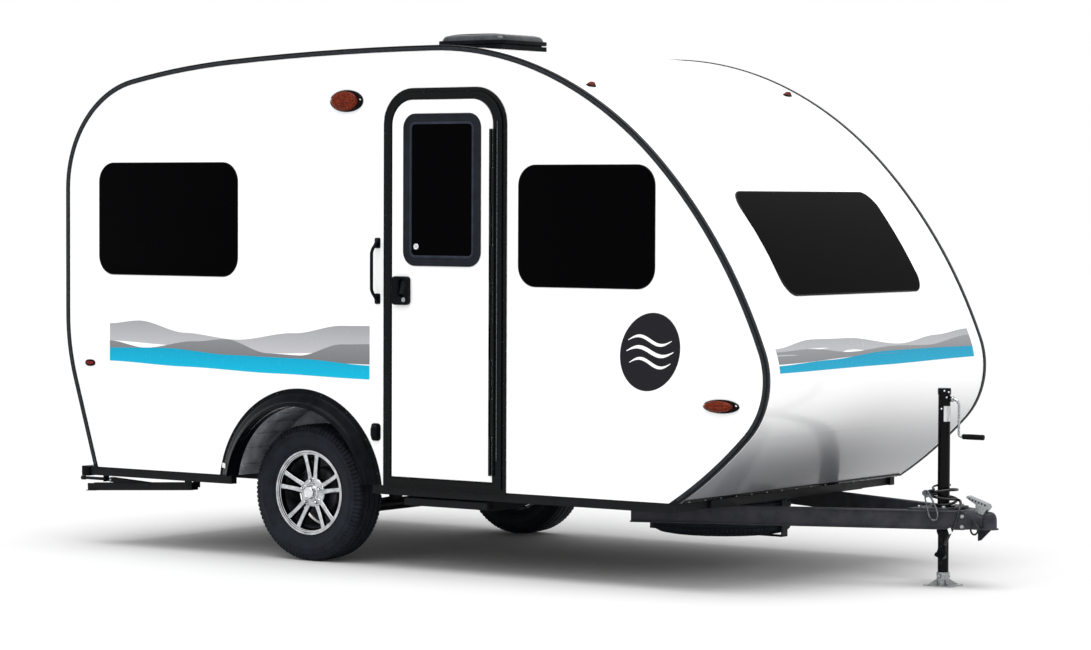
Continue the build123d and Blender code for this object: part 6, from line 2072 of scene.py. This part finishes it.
class TRAILER_OT_bands(bpy.types.Operator):
    """Lays the layered ribbons on both sides and the front, and the ringed discs"""

    bl_idname = "trailer.bands"
    bl_label = "Bands and discs"

    def execute(self, context):
        settings = context.scene.trailer_shell
        start, end = -2.112, -0.436
        bottom, top = settings.band_bottom, settings.band_top
        front_bottom, front_top = 1.0, 1.15
        finish = {
            name: vinyl(f"Vinyl film, {name}", low, high or tuple(settings.band_blue_dark), bottom, top)
            for name, (low, high, _) in RIBBONS.items()
        }
        side = band(SIDE_BAND, end - start, bottom, top, lambda a, h, lift: on_wall(start + a, h, lift))
        nose = band(
            NOSE_BAND, 1.8, front_bottom, front_top, lambda a, h, lift: on_front(h, -0.9 + a, lift)[0]
        )
        for name, shape in side.items():
            right = turned_outwards(shape, (0, -1, 0))
            whole = joined(both_sides(right), turned_outwards(nose[name], (1, 0, 0)))
            piece(f"band_{name}", whole, finish[name], solid=False)
        self.emblem(settings.disc_radius)
        return {"FINISHED"}

    def emblem(self, radius):
        """A leaning black oval with three swept strokes."""
        lean = radians(62.0)
        along = np.array([cos(lean), 0, sin(lean)])
        oval = outline_circle(radius * 1.16, 96, 0.86)
        view = {"x": along, "z": (0, -1, 0)}
        place = on_wall(1.176, 1.082)
        disc = placed(plate(oval, 0.0006, 0.0002, 1), place, **view)
        piece(
            "side_emblem", both_sides(disc), vinyl("Vinyl film, black", "#101015", "#15141a"),
        )
        strokes = []
        for low, reach, wide in ((0.052, 0.118, 0.017), (0.002, 0.128, 0.02), (-0.05, 0.112, 0.017)):
            rings = []
            for k in range(41):
                t = k / 40
                x = -reach + 2 * reach * t
                middle = low + 0.02 * sin(2 * pi * t)
                half = wide * (0.15 + 0.85 * sin(pi * t)) / 2
                rings.append(
                    [
                        (x, middle - half, 0.0006), (x, middle - half, 0.001), (x, middle + half, 0.001),
                        (x, middle + half, 0.0006)
                    ]
                )
            strokes.append(rings_shape(rings))
        strokes = facing_out(joined(*strokes), place)
        piece(
            "side_emblem_strokes", both_sides(strokes),
            vinyl("Vinyl film, white", "#f2f3f3", "#f7f7f7"),
        )


# ---------------- stage
class TRAILER_OT_stage(bpy.types.Operator):
    """Sets the floor, the soft studio lights and the camera"""

    bl_idname = "trailer.stage"
    bl_label = "Studio"

    def execute(self, context):
        settings = context.scene.trailer_stage
        floor_shape = (
            np.array([(-60.0, -60.0, 0), (60.0, -60.0, 0), (60.0, 60.0, 0), (-60.0, 60.0, 0)]),
            [(0, 1, 2, 3)],
        )
        mesh = bpy.data.meshes.new("studio_floor")
        mesh.from_pydata([tuple(p) for p in floor_shape[0]], [], floor_shape[1])
        paper = make_finish(
            "Paper, matte pale sweep", "#cdcdcd", 0.9,
            dict(mm=900.0, detail=2.0, colour=("#cccccc", "#cecece")), Specular_IOR_Level=0.1,
        )
        mesh.materials.append(paper)
        floor = bpy.data.objects.new("studio_floor", mesh)
        context.scene.collection.objects.link(floor)

        world = bpy.data.worlds.new("Studio")
        world.use_nodes = True
        world.node_tree.nodes["Background"].inputs["Color"].default_value = (1.0, 1.0, 1.0, 1.0)
        world.node_tree.nodes["Background"].inputs["Strength"].default_value = 1.0
        context.scene.world = world
        context.scene.view_settings.view_transform = "Standard"
        for name, power, size, place, target in (
            ("key_light", settings.key_power, 7.0, (-1.0, -8.0, 6.5), (-0.3, 0, 1.0)),
            ("front_light", 60.0, 5.0, (9.0, -3.0, 4.5), (1.0, 0, 1.0)),
        ):
            lamp = bpy.data.lights.new(name, "AREA")
            lamp.energy = power
            lamp.size = size
            made = bpy.data.objects.new(name, lamp)
            made.location = place
            made.rotation_euler = (Vector(target) - Vector(place)).to_track_quat("-Z", "Y").to_euler()
            context.scene.collection.objects.link(made)
        sky = bpy.data.lights.new("overhead_light", "SUN")
        sky.energy = settings.overhead_power
        sky.angle = radians(50.0)
        made = bpy.data.objects.new("overhead_light", sky)
        made.rotation_euler = (radians(8.0), radians(4.0), 0)
        context.scene.collection.objects.link(made)

        view = bpy.data.cameras.new("camera")
        view.lens = settings.focal_length
        view.sensor_width = 36.0
        view.clip_end = 200.0
        camera = bpy.data.objects.new("camera", view)
        eye, tilt, roll, heading = (9.8548, -14.02276, 1.77319), 87.9094, -0.2162, 35.439
        camera.location = eye
        camera.rotation_euler = [radians(angle) for angle in (tilt, roll, heading)]
        context.scene.collection.objects.link(camera)
        context.scene.camera = camera
        return {"FINISHED"}


# ---------------- panel
class TRAILER_PT_dressing(bpy.types.Panel):
    """Lists the trailer's pieces"""

    bl_idname = "TRAILER_PT_dressing"
    bl_label = "Travel trailer"
    bl_space_type = "VIEW_3D"
    bl_region_type = "UI"
    bl_category = "Trailer"

    def draw(self, context):
        layout = self.layout
        for step in STEPS:
            layout.operator(step.bl_idname)
        for name in SETTINGS:
            group = getattr(context.scene, name)
            box = layout.box()
            for field in type(group).__annotations__:
                box.prop(group, field)


STEPS = (
    TRAILER_OT_stage, TRAILER_OT_cables, TRAILER_OT_finishes, TRAILER_OT_windows, TRAILER_OT_door,
    TRAILER_OT_handle, TRAILER_OT_lamps, TRAILER_OT_arches, TRAILER_OT_wheels, TRAILER_OT_trims,
    TRAILER_OT_tongue, TRAILER_OT_jack, TRAILER_OT_underside, TRAILER_OT_vent, TRAILER_OT_bands,
)
SETTINGS = {
    "trailer_shell": TrailerShellSettings,
    "trailer_wheels": TrailerWheelSettings,
    "trailer_stage": TrailerStageSettings,
}


def register():
    """Registers the settings, operators and panel."""
    for name, group in SETTINGS.items():
        bpy.utils.register_class(group)
        setattr(bpy.types.Scene, name, PointerProperty(type=group))
    for step in STEPS:
        bpy.utils.register_class(step)
    bpy.utils.register_class(TRAILER_PT_dressing)


def unregister():
    """Takes back what register did."""
    bpy.utils.unregister_class(TRAILER_PT_dressing)
    for step in reversed(STEPS):
        bpy.utils.unregister_class(step)
    for name, group in SETTINGS.items():
        delattr(bpy.types.Scene, name)
        bpy.utils.unregister_class(group)


def main():
    """Dresses the trailer, one step after another."""
    register()
    for step in STEPS:
        namespace, name = step.bl_idname.split(".")
        result = getattr(getattr(bpy.ops, namespace), name)()
        if "FINISHED" not in result:
            raise RuntimeError(f"{step.bl_label} didn't finish")
    bpy.context.view_layer.update()


if __name__ == "__main__":
    main()
